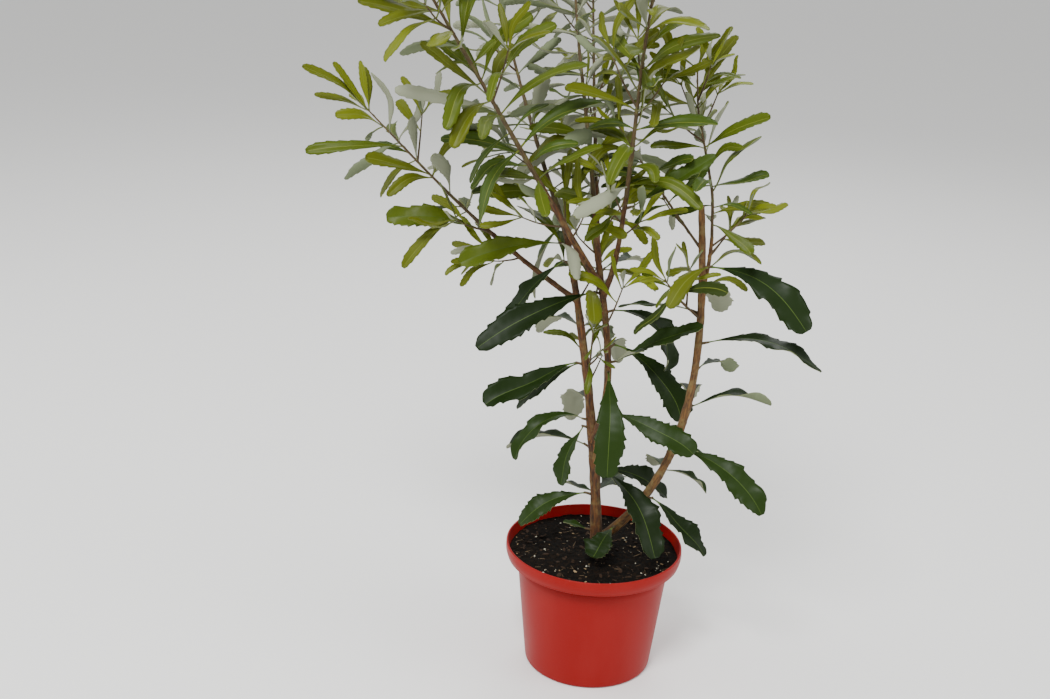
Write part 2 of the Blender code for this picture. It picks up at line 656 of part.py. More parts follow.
def fuse_mass(name, stem, parent, twigs, loose):
    """One Boolean union of a stem, cut clear of its limb, with its twigs and leaves."""
    obj = add_object(name, stem, parts, leaf_green)
    boolean(obj, "DIFFERENCE", tubes[parent])
    pile = new_collection(f"{name}_pile")
    for mesh in twigs:
        loose_object(mesh, pile)
    for points, faces in loose:
        mesh = bpy.data.meshes.new("leaf")
        mesh.from_pydata(points, [], faces)
        loose_object(mesh, pile)
    boolean(obj, "UNION", collection=pile)
    mesh = evaluated_mesh(obj)
    obj.modifiers.clear()
    obj.data = mesh
    mesh.materials.clear()
    mesh.materials.append(leaf_green)
    for piece in list(pile.objects):
        bpy.data.objects.remove(piece)
    bpy.data.collections.remove(pile)


# ---------------------------------------------------------------- assembly

clear_scene()
parts = new_collection("potted_coastal_banksia")
cutters = new_collection("cutters")
red_plastic = new_material("red_plastic", (0.51, 0.03, 0.022), 0.35)
potting_mix = new_material("potting_mix", (0.012, 0.009, 0.007), 0.95)
bark = new_material("bark", (0.19, 0.10, 0.055), 0.75)
leaf_green = new_material("leaf_green", (0.06, 0.12, 0.018), 0.45)

remember_object(make_pot())
remember_object(make_soil())
for limb in LIMBS:
    make_limb(limb)
stems = [(crown, *grow_stem(crown)) for crown in CROWNS]
growth = []
for index, (crown, path, mesh) in enumerate(stems):
    dice = random.Random(FIRST_SEED + index)
    growth.append((crown, path, mesh, grow_twigs(crown, path, dice), dice))
for spray in SPRAYS:
    make_spray(spray)
for grown in growth:
    make_crown(*grown)
bpy.context.view_layer.update()
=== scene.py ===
"""A young coastal banksia in a red nursery pot, dressed for rendering. Metres, +Z up.

The pot, the potting mix, the trunk and the boughs are the solids' shapes made again with their fine relief.
The crown is grown again by the rule that grew its solids, leaf by leaf, then carried on to smaller twigs and
leaves in the same space. Bearings are degrees round +Z from +X, leans are degrees from the vertical, and
rises are degrees above the horizontal.
"""

import json
import math
import random
from collections import namedtuple

import bmesh
import bpy
import numpy as np
from mathutils import Matrix, Vector
from mathutils.bvhtree import BVHTree

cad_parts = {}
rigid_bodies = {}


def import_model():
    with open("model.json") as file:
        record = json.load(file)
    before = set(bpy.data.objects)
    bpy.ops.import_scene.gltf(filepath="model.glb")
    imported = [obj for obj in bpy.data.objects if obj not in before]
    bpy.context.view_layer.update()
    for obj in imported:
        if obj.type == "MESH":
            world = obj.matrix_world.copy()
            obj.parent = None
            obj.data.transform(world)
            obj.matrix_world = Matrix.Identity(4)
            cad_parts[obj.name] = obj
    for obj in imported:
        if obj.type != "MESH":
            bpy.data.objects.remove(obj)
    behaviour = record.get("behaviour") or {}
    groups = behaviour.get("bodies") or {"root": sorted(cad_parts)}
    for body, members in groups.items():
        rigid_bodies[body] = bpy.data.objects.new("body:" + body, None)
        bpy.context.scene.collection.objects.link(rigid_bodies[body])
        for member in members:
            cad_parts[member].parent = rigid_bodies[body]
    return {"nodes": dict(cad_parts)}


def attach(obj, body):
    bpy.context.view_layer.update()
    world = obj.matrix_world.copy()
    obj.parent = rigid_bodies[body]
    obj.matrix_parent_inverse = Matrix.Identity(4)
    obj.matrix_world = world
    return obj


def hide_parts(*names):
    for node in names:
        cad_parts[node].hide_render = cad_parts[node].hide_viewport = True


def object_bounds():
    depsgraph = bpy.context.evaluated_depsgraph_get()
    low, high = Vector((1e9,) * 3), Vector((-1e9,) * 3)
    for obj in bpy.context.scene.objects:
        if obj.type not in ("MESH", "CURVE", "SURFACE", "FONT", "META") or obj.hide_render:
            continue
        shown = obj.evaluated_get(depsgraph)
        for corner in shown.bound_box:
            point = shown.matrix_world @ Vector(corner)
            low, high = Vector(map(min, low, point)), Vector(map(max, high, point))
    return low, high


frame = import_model()
solid_bounds = np.array(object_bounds())

# ---------------------------------------------------------------- camera
# A 48 mm lens on a 36 mm frame stands level with the crown's top, looks down on the pot and is held a
# little out of level.
LENS = 48.0
FRAME_WIDTH = 36.0
CAMERA_PLACE = (0.0, -1.443, 0.877)
CAMERA_TURN = 3.52
CAMERA_DOWN = 19.17
CAMERA_ROLL = 2.59

camera = bpy.data.objects.new("camera", bpy.data.cameras.new("camera"))
camera.data.lens = LENS
camera.data.sensor_width = FRAME_WIDTH
camera.matrix_world = (
    Matrix.Translation(CAMERA_PLACE)
    @ Matrix.Rotation(math.radians(CAMERA_TURN), 4, "Z")
    @ Matrix.Rotation(math.radians(90 - CAMERA_DOWN), 4, "X")
    @ Matrix.Rotation(math.radians(CAMERA_ROLL), 4, "Z")
)
bpy.context.scene.collection.objects.link(camera)
bpy.context.scene.camera = camera

# ---------------------------------------------------------------- floor and light
# A wide matt floor in pale grey, lit as in a studio: a large soft lamp above and in front, a weaker one on
# each side, one behind for the edges of the leaves, and an even pale sky.
FLOOR_SIZE = 60.0
FLOOR_COLOUR = "#f4f4f2"
SKY_COLOUR = "#ffffff"
SKY_STRENGTH = 0.75
Lamp = namedtuple("Lamp", "name place size watts")
LAMPS = (
    Lamp("lamp_key", (-0.5, -1.7, 2.6), 0.9, 90.0),
    Lamp("lamp_right", (2.2, -0.6, 1.5), 1.6, 22.0),
    Lamp("lamp_left", (-2.2, 0.1, 1.2), 1.6, 16.0),
    Lamp("lamp_back", (0.2, 2.0, 2.2), 1.6, 26.0),
)
LAMP_AIM = Vector((0.0, 0.0, 0.42))


def linear(colour):
    """The linear red, green, blue and alpha of an sRGB hex colour."""
    parts = [int(colour[i : i + 2], 16) / 255 for i in (1, 3, 5)]
    return (*[c / 12.92 if c <= 0.04045 else ((c + 0.055) / 1.055) ** 2.4 for c in parts], 1.0)


def add_node(tree, kind, output, inputs=(), **settings):
    """Adds one node: links each input that is given a socket, sets the others, and returns the output."""
    made = tree.nodes.new("ShaderNode" + kind)
    for name, value in settings.items():
        setattr(made, name, value)
    for name, value in dict(inputs).items():
        if isinstance(value, bpy.types.NodeSocket):
            tree.links.new(value, made.inputs[name])
        else:
            made.inputs[name].default_value = value
    return made.outputs[output]


def new_finish(name, colour, roughness, gloss=0.5, others=()):
    """A material of one Principled shader: its colour, roughness, specular level and other sockets."""
    material = bpy.data.materials.new(name)
    material.use_nodes = True
    material.diffuse_color = linear(colour)
    shader = material.node_tree.nodes["Principled BSDF"]
    sockets = {"Base Color": linear(colour), "Roughness": roughness, "Specular IOR Level": gloss}
    for socket, value in {**sockets, **dict(others)}.items():
        shader.inputs[socket].default_value = value
    return material


floor_mesh = bpy.data.meshes.new("floor")
half = FLOOR_SIZE / 2
corners = [(-half, -half, 0), (half, -half, 0), (half, half, 0), (-half, half, 0)]
floor_mesh.from_pydata(corners, [], [(0, 1, 2, 3)])
floor = bpy.data.objects.new("floor", floor_mesh)
floor.data.materials.append(new_finish("floor_paper", FLOOR_COLOUR, 0.9))
bpy.context.scene.collection.objects.link(floor)

for lamp in LAMPS:
    light = bpy.data.lights.new(lamp.name, "AREA")
    light.shape = "DISK"
    light.size = lamp.size
    light.energy = lamp.watts
    lamp_object = bpy.data.objects.new(lamp.name, light)
    lamp_object.location = lamp.place
    lamp_object.rotation_euler = (LAMP_AIM - Vector(lamp.place)).to_track_quat("-Z", "Y").to_euler()
    bpy.context.scene.collection.objects.link(lamp_object)

sky = bpy.data.worlds.new("studio")
sky.use_nodes = True
background = sky.node_tree.nodes["Background"]
background.inputs["Color"].default_value = linear(SKY_COLOUR)
background.inputs["Strength"].default_value = SKY_STRENGTH
bpy.context.scene.world = sky

# ---------------------------------------------------------------- pot
# A squat nursery pot of injection-moulded polypropylene: a thin tapered wall, a low collar under the band,
# a wide bulged band with a rolled lip, and six drain holes in the flat base. One closed wall, turned.
POT_HEIGHT = 0.148
RIM_RADIUS = 0.100
BAND_HEIGHT = 0.0167
BAND_FOOT_RADIUS = 0.0982
WALL_TOP_RADIUS = 0.0868
FOOT_RADIUS = 0.0725
WALL = 0.0022
FLOOR = 0.0030
BASE_MIDDLE = 0.030  # radius of the base's inmost ring
INNER_WALL_FOOT = 0.020  # height where the inner wall's even taper starts
LEDGE_ROUND = 0.0010
BAND_BULGE = 0.0010
LIP_ROUND = 0.0012
BAND_FACE_INSET = (0.0014, 0.0026)  # how far the band's face stops short of its foot and of its top
COLLAR_DROP = 0.0048
COLLAR_STAND = 0.0012
COLLAR_ROUND = 0.0008
COLLAR_FACE_DROP = 0.002
GROOVE_HEIGHT = 0.0014
GROOVE_DEPTH = 0.0010
GROOVE_ROUND = 0.0003
OUTER_WALL_FOOT = 0.006
FOOT_ROUND = 0.0040
FOOT_STAND = 0.0003  # how far the foot's roll stands out from the wall
POT_COLUMNS = 160
DRAIN_HOLES = 6
DRAIN_HOLE_RADIUS = 0.0055
DRAIN_HOLE_SIDES = 24
DRAIN_RING_RADIUS = 0.050
POT_RED = "#860b08"
POT_WORN = "#8b1916"
POT_DUST = "#7e312f"
POT_PATCH = 0.045  # metres across a rubbed patch
POT_GRIT = 0.0007  # metres across a dimple of the moulded skin, drawn as coarse as the render shows


def arc(centre, radius, start, end, count):
    """Points of a circle in the profile: the centre plus the radius at even steps of angle."""
    angle = np.radians(np.linspace(start, end, count))
    return np.column_stack([centre[0] + radius * np.cos(angle), centre[1] + radius * np.sin(angle)])


def even_line(near, far, count, bulge=0.0):
    """Points from near to far at even steps, pushed outward by a half sine wave of the given height."""
    share = np.linspace(0, 1, count)[:, None]
    line = np.array(near) * (1 - share) + np.array(far) * share
    return line + np.hstack([bulge * np.sin(math.pi * share), 0 * share])


def lathe(profile, columns):
    """Points and faces of a profile of (radius, height) turned round Z: x = r cos t, y = r sin t, z = h.

    The first and last points lie on the axis, and each is one vertex, so the surface is closed.
    """
    turn = 2 * math.pi * np.arange(columns) / columns
    ring = profile[1:-1]
    x = ring[:, :1] * np.cos(turn)
    y = ring[:, :1] * np.sin(turn)
    z = np.repeat(ring[:, 1:], columns, axis=1)
    points = np.stack([x, y, z], axis=-1).reshape(-1, 3)
    points = np.vstack([points, [0, 0, profile[0, 1]], [0, 0, profile[-1, 1]]])
    return points, closed_faces(len(ring), columns)


def ring_faces(rows, columns):
    """The four corners of each face between neighbouring rings of points."""
    row = np.arange(rows - 1)[:, None] * columns
    here = np.arange(columns)[None, :]
    after = (here + 1) % columns
    quads = np.stack([row + here, row + after, row + columns + after, row + columns + here], axis=-1)
    return quads.reshape(-1, 4)


def closed_faces(rows, columns):
    """The rings' faces, and a fan that closes the first and last ring to the two points kept after them."""
    here = np.arange(columns)
    after = (here + 1) % columns
    last, pole = (rows - 1) * columns, rows * columns
    fans = [
        np.column_stack([np.full(columns, pole), after, here]),
        np.column_stack([np.full(columns, pole + 1), here + last, after + last]),
    ]
    return [ring_faces(rows, columns), np.vstack(fans)]


def add_piece(name, points, faces, finishes, picks=None):
    """One smooth mesh of the points and of blocks of faces. Picks gives each face its place in finishes."""
    mesh = bpy.data.meshes.new(name)
    corners = np.concatenate([block.ravel() for block in faces])
    sizes = np.concatenate([np.full(len(block), block.shape[1]) for block in faces])
    mesh.vertices.add(len(points))
    mesh.vertices.foreach_set("co", np.ascontiguousarray(points, dtype=np.float32).ravel())
    mesh.loops.add(len(corners))
    mesh.loops.foreach_set("vertex_index", corners.astype(np.int32))
    mesh.polygons.add(len(sizes))
    mesh.polygons.foreach_set("loop_start", (np.cumsum(sizes) - sizes).astype(np.int32))
    for finish in finishes:
        mesh.materials.append(finish)
    if picks is not None:
        mesh.polygons.foreach_set("material_index", picks.astype(np.int32))
    mesh.update(calc_edges=True)
    mesh.shade_smooth()
    piece = bpy.data.objects.new(name, mesh)
    bpy.context.scene.collection.objects.link(piece)
    return piece


def finished_mesh(piece):
    """The piece's mesh with its modifiers applied."""
    bpy.context.view_layer.update()
    return bpy.data.meshes.new_from_object(piece.evaluated_get(bpy.context.evaluated_depsgraph_get()))


def take_over(piece, slot, *nodes):
    """The piece stands for these solids, which are hidden, and rides with the pot. The slot is not used."""
    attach(piece, "root")
    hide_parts(*nodes)


wall_top = POT_HEIGHT - BAND_HEIGHT
inner_step = wall_top + WALL
collar_foot = wall_top - COLLAR_DROP


def wall_radius(height):
    """The outer wall's radius at a height: a straight taper from the foot to the band."""
    return FOOT_RADIUS + (WALL_TOP_RADIUS - FOOT_RADIUS) * height / wall_top


def inside(radius, height):
    """A point of the wall's inner face: the outer radius less the wall."""
    return radius - WALL, height


collar_radius = WALL_TOP_RADIUS + COLLAR_STAND
collar_foot_radius = wall_radius(collar_foot)
groove_foot = collar_foot - GROOVE_HEIGHT
pot_profile = np.vstack([
    [(0, FLOOR), (BASE_MIDDLE, FLOOR), inside(FOOT_RADIUS, FLOOR)],
    even_line(
        inside(wall_radius(INNER_WALL_FOOT), INNER_WALL_FOOT),
        inside(WALL_TOP_RADIUS, inner_step - LEDGE_ROUND), 6,
    ),
    [inside(WALL_TOP_RADIUS, inner_step) + np.array([LEDGE_ROUND, 0])],
    [inside(BAND_FOOT_RADIUS - LEDGE_ROUND, inner_step), inside(BAND_FOOT_RADIUS, inner_step + LEDGE_ROUND)],
    even_line(
        inside(BAND_FOOT_RADIUS, inner_step + 3 * LEDGE_ROUND),
        inside(RIM_RADIUS, POT_HEIGHT - LIP_ROUND), 5,
    ),
    arc((RIM_RADIUS - LIP_ROUND, POT_HEIGHT - LIP_ROUND), LIP_ROUND, 150, 0, 7),
    even_line(
        (RIM_RADIUS, POT_HEIGHT - BAND_FACE_INSET[1]), (BAND_FOOT_RADIUS, wall_top + BAND_FACE_INSET[0]), 9,
        BAND_BULGE,
    )[1:],
    arc((BAND_FOOT_RADIUS - LIP_ROUND, wall_top + LIP_ROUND), LIP_ROUND, 0, -90, 5),
    [(collar_radius + COLLAR_ROUND, wall_top)],
    arc((collar_radius + COLLAR_ROUND, wall_top - COLLAR_ROUND), COLLAR_ROUND, 90, 180, 4),
    even_line(
        (collar_radius, wall_top - COLLAR_FACE_DROP), (collar_foot_radius + COLLAR_STAND, collar_foot), 4
    ),
    [(collar_foot_radius - GROOVE_DEPTH, collar_foot), (collar_foot_radius - GROOVE_DEPTH, groove_foot)],
    [(collar_foot_radius - GROOVE_ROUND, groove_foot)],
    even_line(
        (collar_foot_radius, groove_foot - GROOVE_ROUND), (wall_radius(OUTER_WALL_FOOT), OUTER_WALL_FOOT), 14
    ),
    arc((FOOT_RADIUS - FOOT_ROUND + FOOT_STAND, FOOT_ROUND), FOOT_ROUND, 0, -90, 6),
    [(BASE_MIDDLE, 0), (0, 0)],
])
points, faces = lathe(pot_profile, POT_COLUMNS)
pot = add_piece("nursery_pot", points, faces, [])
for index in range(DRAIN_HOLES):
    drill = bpy.data.objects.new("drill", bpy.data.meshes.new("drill"))
    bpy.context.scene.collection.objects.link(drill)
    turn = 2 * math.pi * index / DRAIN_HOLES
    place = Vector((DRAIN_RING_RADIUS * math.cos(turn), DRAIN_RING_RADIUS * math.sin(turn), 0))
    work = bmesh.new()
    bmesh.ops.create_cone(
        work, cap_ends=True, segments=DRAIN_HOLE_SIDES, radius1=DRAIN_HOLE_RADIUS,
        radius2=DRAIN_HOLE_RADIUS, depth=4 * FLOOR, matrix=Matrix.Translation(place),
    )
    work.to_mesh(drill.data)
    work.free()
    cut = pot.modifiers.new("drain", "BOOLEAN")
    cut.operation = "DIFFERENCE"
    cut.solver = "EXACT"
    cut.object = drill
    cut_mesh = finished_mesh(pot)
    pot.modifiers.clear()
    pot.data = cut_mesh
    bpy.data.objects.remove(drill)

# Polypropylene keeps a satin skin. Handling rubs it paler in soft patches and dust settles in its dimples.
red_polypropylene = new_finish(
    "red_polypropylene", POT_RED, 0.36, 0.14,
    {"IOR": 1.49, "Sheen Weight": 0.03, "Sheen Roughness": 0.35, "Sheen Tint": linear("#f2c9c4")},
)
tree = red_polypropylene.node_tree
shader = tree.nodes["Principled BSDF"]
place = add_node(tree, "TexCoord", "Object")
stretched = add_node(tree, "Mapping", "Vector", {"Vector": place, "Scale": (1, 1, 0.3)})
patch_noise = {"Vector": stretched, "Scale": 1 / POT_PATCH, "Detail": 6.0, "Roughness": 0.62}
patches = add_node(tree, "TexNoise", "Fac", patch_noise)
rubbed = add_node(
    tree, "MapRange", "Result", {"Value": patches, "From Min": 0.42, "From Max": 0.72, "To Max": 0.75}
)
red = add_node(
    tree, "MixRGB", "Color", {"Fac": rubbed, "Color1": linear(POT_RED), "Color2": linear(POT_WORN)}
)
fine = add_node(tree, "TexNoise", "Fac", {"Vector": place, "Scale": 1 / POT_GRIT, "Detail": 3.0})
dusty = add_node(
    tree, "MapRange", "Result", {"Value": fine, "From Min": 0.56, "From Max": 0.75, "To Max": 0.5}
)
red = add_node(tree, "MixRGB", "Color", {"Fac": dusty, "Color1": red, "Color2": linear(POT_DUST)})
tree.links.new(red, shader.inputs["Base Color"])
rough_range = {"From Min": 0.3, "From Max": 0.7, "To Min": 0.38, "To Max": 0.52}
rough = add_node(tree, "MapRange", "Result", {"Value": patches, **rough_range})
tree.links.new(rough, shader.inputs["Roughness"])
bump = add_node(tree, "Bump", "Normal", {"Height": fine, "Strength": 0.12, "Distance": 0.0002})
tree.links.new(bump, shader.inputs["Normal"])
pot.data.materials.append(red_polypropylene)
take_over(pot, "red_plastic", "pot")

# ---------------------------------------------------------------- potting mix
# Damp composted bark with sand, perlite and bark chips, filled to just under the lip and a little lower at
# the wall. The mix is one turned solid with a lumpy top; the grains lie on it.
SOIL_HEIGHT = 0.1368
SOIL_EDGE_HEIGHT = 0.1358
SOIL_FLAT_RADIUS = 0.035
GAP = 0.0003
SOIL_RINGS = 64
SOIL_COLUMNS = 180
# Metres across, metres high.
LUMPS = ((0.0200, 0.0006), (0.0080, 0.0007), (0.0034, 0.0006), (0.0018, 0.0003))
LUMP_SQUARES = 64
SOIL_SEED = 5
FLECK = 0.0026  # metres across a brown fleck
CRUMB = 0.0012  # metres across a crumb of the bump


def lumps(x, y, size, dice):
    """Smooth value noise from -1 to 1: random heights on a grid of squares, eased between their corners."""
    table = dice.uniform(-1, 1, (LUMP_SQUARES, LUMP_SQUARES))
    middle = (LUMP_SQUARES - 1) / 2
    u, v = x / size + middle, y / size + middle
    i, j = np.floor(u).astype(int), np.floor(v).astype(int)
    a, b = u - i, v - j
    a, b = a * a * (3 - 2 * a), b * b * (3 - 2 * b)
    i, j, right, beyond = (k % LUMP_SQUARES for k in (i, j, i + 1, j + 1))
    near = table[i, j] * (1 - a) + table[right, j] * a
    far = table[i, beyond] * (1 - a) + table[right, beyond] * a
    return near * (1 - b) + far * b


def mix_height(x, y):
    """Height of the mix at x, y: flat in the middle, sloping to the wall, with lumps of four sizes added."""
    r = np.hypot(x, y)
    out = np.clip((r - SOIL_FLAT_RADIUS) / (soil_radius - SOIL_FLAT_RADIUS), 0, 1)
    height = SOIL_HEIGHT + (SOIL_EDGE_HEIGHT - SOIL_HEIGHT) * out
    dice = np.random.default_rng(SOIL_SEED)
    for size, rise in LUMPS:
        height = height + rise * lumps(x, y, size, dice)
    return height


soil_radius = BAND_FOOT_RADIUS - WALL - GAP
top_rings = np.linspace(0, soil_radius, SOIL_RINGS)
soil_profile = np.vstack([
    np.column_stack([top_rings, np.full(SOIL_RINGS, SOIL_HEIGHT)]),
    [(soil_radius - GAP, inner_step + GAP)],
    [(WALL_TOP_RADIUS - WALL - 2 * GAP, inner_step + GAP)],
    [(FOOT_RADIUS - WALL - 2 * GAP, FLOOR + GAP), (0, FLOOR + GAP)],
])
points, faces = lathe(soil_profile, SOIL_COLUMNS)
on_top = np.concatenate([np.arange((SOIL_RINGS - 1) * SOIL_COLUMNS), [len(points) - 2]])
points[on_top, 2] = mix_height(points[on_top, 0], points[on_top, 1])

# Composted bark is matt and near black when damp, with browner flecks a few millimetres across.
composted_bark = new_finish("composted_bark", "#0d0a08", 0.9, 0.1)
tree = composted_bark.node_tree
shader = tree.nodes["Principled BSDF"]
place = add_node(tree, "TexCoord", "Object")
flecks = add_node(tree, "TexVoronoi", "Color", {"Vector": place, "Scale": 1 / FLECK, "Randomness": 1.0})
fleck = add_node(tree, "SeparateColor", "Red", {"Color": flecks})
browner = add_node(tree, "MapRange", "Result", {"Value": fleck, "From Min": 0.55, "From Max": 1.0})
brown = add_node(
    tree, "MixRGB", "Color", {"Fac": browner, "Color1": linear("#090705"), "Color2": linear("#1b120a")}
)
tree.links.new(brown, shader.inputs["Base Color"])
crumbs = add_node(tree, "TexNoise", "Fac", {"Vector": place, "Scale": 1 / CRUMB, "Detail": 4.0})
bump = add_node(tree, "Bump", "Normal", {"Height": crumbs, "Strength": 0.8, "Distance": 0.0008})
tree.links.new(bump, shader.inputs["Normal"])
soil = add_piece("potting_mix", points, faces, [composted_bark])
take_over(soil, "potting_mix", "soil")

# Grains on the mix, each an angular lump of 14 corners: bark crumbs and chips, wood chips, perlite and
# root fibres. Sunk is the share of a lump's height that lies in the mix.
GRAIN_SEED = 8
Grain = namedtuple("Grain", "name finish count length flatness sunk bunched")
GRAINS = (
    Grain(
        "bark_crumbs", new_finish("damp_bark_crumb", "#18110a", 0.85, 0.1),
        1500, (0.0012, 0.0034), 0.6, 0.45, 0,
    ),
    Grain("bark_chips", new_finish("bark_chip", "#2c1e12", 0.8, 0.2), 170, (0.0035, 0.0085), 0.35, 0.35, 0),
    Grain("pale_chips", new_finish("wood_chip", "#8a7453", 0.8), 38, (0.0020, 0.0060), 0.35, 0.30, 0.22),
    Grain("perlite", new_finish("perlite", "#bdb8a4", 0.9), 84, (0.0009, 0.0036), 0.6, 0.45, 0.30),
    Grain("fibres", new_finish("root_fibre", "#6e5b41", 0.85), 60, (0.0070, 0.0160), 0.06, 0.20, 0.15),
)
SOIL_CLEAR_OF_TRUNK = 0.009
SOIL_CLEAR_OF_WALL = 0.003
GRAIN_WIDTH = (0.5, 0.9)  # shares of its length
GRAIN_HEIGHT = (0.5, 1.0)
LUMP_WIDTH = (0.35, 0.8)
FIBRE_FLATNESS = 0.1  # a flatter grain is a fibre
CORNER_JITTER = (0.75, 1.15)
GRAIN_TIP = 0.35  # radians
BUNCHES = 3
BUNCH_SLANT = 5  # how much the bunches lag towards the wall, radians
CHAMFER = (-0.62, 0.62)
LUMP_CORNERS = np.array(
    [(1, 0, 0), (-1, 0, 0), (0, 1, 0), (0, -1, 0), (0, 0, 1), (0, 0, -1)]
    + [(x, y, z) for x in CHAMFER for y in CHAMFER for z in CHAMFER]
)


def hull_faces(corners):
    """The triangles of the convex hull of the corners, facing outwards."""
    work = bmesh.new()
    for corner in corners:
        work.verts.new(corner)
    bmesh.ops.convex_hull(work, input=work.verts)
    bmesh.ops.triangulate(work, faces=work.faces)
    bmesh.ops.recalc_face_normals(work, faces=work.faces)
    work.verts.index_update()
    found = np.array([[vertex.index for vertex in face.verts] for face in work.faces])
    work.free()
    return found


def scatter(grain, dice):
    """Lumps strewn over the mix: each is jittered, stretched along x, turned at random and part sunk.

    They lie evenly by area. Bunched then shifts each round the pot by a sine of its turn times the bunches.
    """
    count = grain.count
    least = (SOIL_CLEAR_OF_TRUNK / soil_radius) ** 2
    radius = np.sqrt(dice.uniform(least, 1, count)) * (soil_radius - SOIL_CLEAR_OF_WALL)
    turn = dice.uniform(0, 2 * math.pi, count)
    turn = turn + grain.bunched * np.sin(BUNCHES * turn + BUNCH_SLANT * radius / soil_radius)
    x, y = radius * np.cos(turn), radius * np.sin(turn)
    length = grain.length[0] + (grain.length[1] - grain.length[0]) * dice.uniform(0, 1, count) ** 2
    width, height = length * dice.uniform(*GRAIN_WIDTH, count), length * dice.uniform(*GRAIN_HEIGHT, count)
    size = np.stack([length, width, height], axis=-1) / 2
    size[:, 1:] *= grain.flatness
    if grain.flatness > FIBRE_FLATNESS:
        size[:, 1] = length * dice.uniform(*LUMP_WIDTH, count) / 2
    corners = LUMP_CORNERS * dice.uniform(*CORNER_JITTER, (count, len(LUMP_CORNERS), 1)) * size[:, None, :]
    yaw, tip = dice.uniform(0, 2 * math.pi, count), dice.uniform(-GRAIN_TIP, GRAIN_TIP, count)
    cy, sy, ct, st = (wave[:, None] for wave in (np.cos(yaw), np.sin(yaw), np.cos(tip), np.sin(tip)))
    along = corners[..., 0] * ct - corners[..., 2] * st
    high = corners[..., 0] * st + corners[..., 2] * ct
    placed = np.stack([
        x[:, None] + along * cy - corners[..., 1] * sy,
        y[:, None] + along * sy + corners[..., 1] * cy,
        (mix_height(x, y) + size[:, 2] * (1 - 2 * grain.sunk))[:, None] + high,
    ], axis=-1)
    faces = LUMP_FACES[None] + (np.arange(count) * len(LUMP_CORNERS))[:, None, None]
    return placed.reshape(-1, 3), [faces.reshape(-1, 3)]


LUMP_FACES = hull_faces(LUMP_CORNERS)
grain_dice = np.random.default_rng(GRAIN_SEED)
for grain in GRAINS:
    points, faces = scatter(grain, grain_dice)
    piece = add_piece(grain.name, points, faces, [grain.finish])
    piece.data.shade_flat()
    take_over(piece, "potting_mix", "soil")

# ---------------------------------------------------------------- trunk and boughs
# Young wood of the plant: a slim trunk with a root flare, and seven boughs that leave it or each other from
# a collar. The bark is thin and finely cracked along the grain, with raised scars where leaves have dropped.
TRUNK_FOOT = Vector((0.0025, 0.0040, SOIL_HEIGHT + GAP))
ROOT_FLARE = 0.0045
ROOT_FLARE_HEIGHT = 0.0090
COLLAR_SHARE = 0.35
COLLAR_LENGTH = 0.0100
FOOT_INSIDE_SHARE = 0.4
NEAR_FOOT_SHARE = 0.3
LIMB_POINT_SPACING = 0.030
LIMB_SIDES = 8
LIMB_ROW_SPACING = 0.0015
LIMB_COLUMNS = 28
CORNER_EASE = 0.012  # metres of path over which a bend is rounded
SCAR_SPACING = (0.007, 0.013)
SCAR_RISE = 0.00055
SCAR_HIGH = 0.0012
SCAR_WIDE = 0.0016
GOLDEN_ANGLE = 2.39996
# Waves round the limb, and their height as a share of its radius.
BARK_RIDGES = ((2, 0.040), (3, 0.030), (5, 0.022), (8, 0.016))
RIDGE_DRIFT = 1.2  # radians a ridge wanders round the limb
RIDGE_DRIFT_RATE = (25, 70)  # radians of that wave a metre
SWELLING = 0.05  # share of the radius
SWELLING_RATE = 170
SWELLING_SHIFT_RATE = 61
SCAR_ASIDE = 0.3
ANY_PHASE = (0, 6.28)
BARK_SEED = 21
TRUNK_SUNK = 0.004
ROOT_LOBES = ((3, 0.30, 0.7), (5, 0.16, 2.1))  # lobes round the foot, height as a share of the flare, phase
BEYOND_REACH = 0.003  # metres that new growth may pass the solids' box

Limb = namedtuple("Limb", "name parent place bearing leans length foot_radius tip_radius")
LIMBS = (
    Limb("trunk", None, 0, 180, (2.5, 8.5, 12.5), 0.373, 0.0066, 0.0034),
    Limb("bough_centre", "trunk", 0.36, -45, (30, -12, -6), 0.268, 0.0046, 0.0030),
    Limb("bough_left", "bough_centre", 0.685, 212, (37, 34, 34), 0.138, 0.0038, 0.0028),
    Limb("bough_front", "bough_centre", 0.645, -62, (38, 15, 9), 0.125, 0.0032, 0.0025),
    Limb("bough_back", "bough_centre", 0.79, 100, (38, 32, 30), 0.090, 0.0028, 0.0023),
    Limb("bough_far_left", "trunk", 0.80, 165, (62, 58, 54), 0.136, 0.0030, 0.0022),
    Limb("bough_right", "trunk", 0.027, -12, (49, 8, -6), 0.428, 0.0052, 0.0036),
    Limb("bough_right_shoot", "bough_right", 0.78, 40, (20, 6, 0), 0.062, 0.0022, 0.0018),
)

paths = {}
solids = []  # (owner, centre, reach, BVHTree) of everything that a new leaf has to miss


def heading(bearing, lean):
    """The unit vector that leans so many degrees from +Z towards the bearing."""
    b, t = math.radians(bearing), math.radians(lean)
    return Vector((math.sin(t) * math.cos(b), math.sin(t) * math.sin(b), math.cos(t)))


def lean_at(leans, share):
    """The lean at a share of the length: the parabola through the foot's, middle's and tip's lean."""
    foot, middle, tip = leans
    near, far = 1 - share, share
    return foot * near * (1 - 2 * far) + 4 * middle * near * far + tip * far * (2 * far - 1)


def stem_path(foot, bearing, leans, length, spacing):
    """Points along a stem that keeps to one vertical plane while its lean changes."""
    steps = max(2, round(length / spacing))
    points = [foot.copy()]
    for step in range(steps):
        lean = lean_at(leans, (step + 0.5) / steps)
        points.append(points[-1] + heading(bearing, lean) * (length / steps))
    return points


def point_on(path, share):
    """The place at a share of the path's length, and the path's direction there."""
    runs = [far - near for near, far in zip(path, path[1:])]
    left = share * sum(run.length for run in runs)
    for near, run in zip(path, runs[:-1]):
        if left <= run.length:
            break
        left -= run.length
    else:
        near, run = path[-2], runs[-1]
    return near + run.normalized() * min(left, run.length), run.normalized()


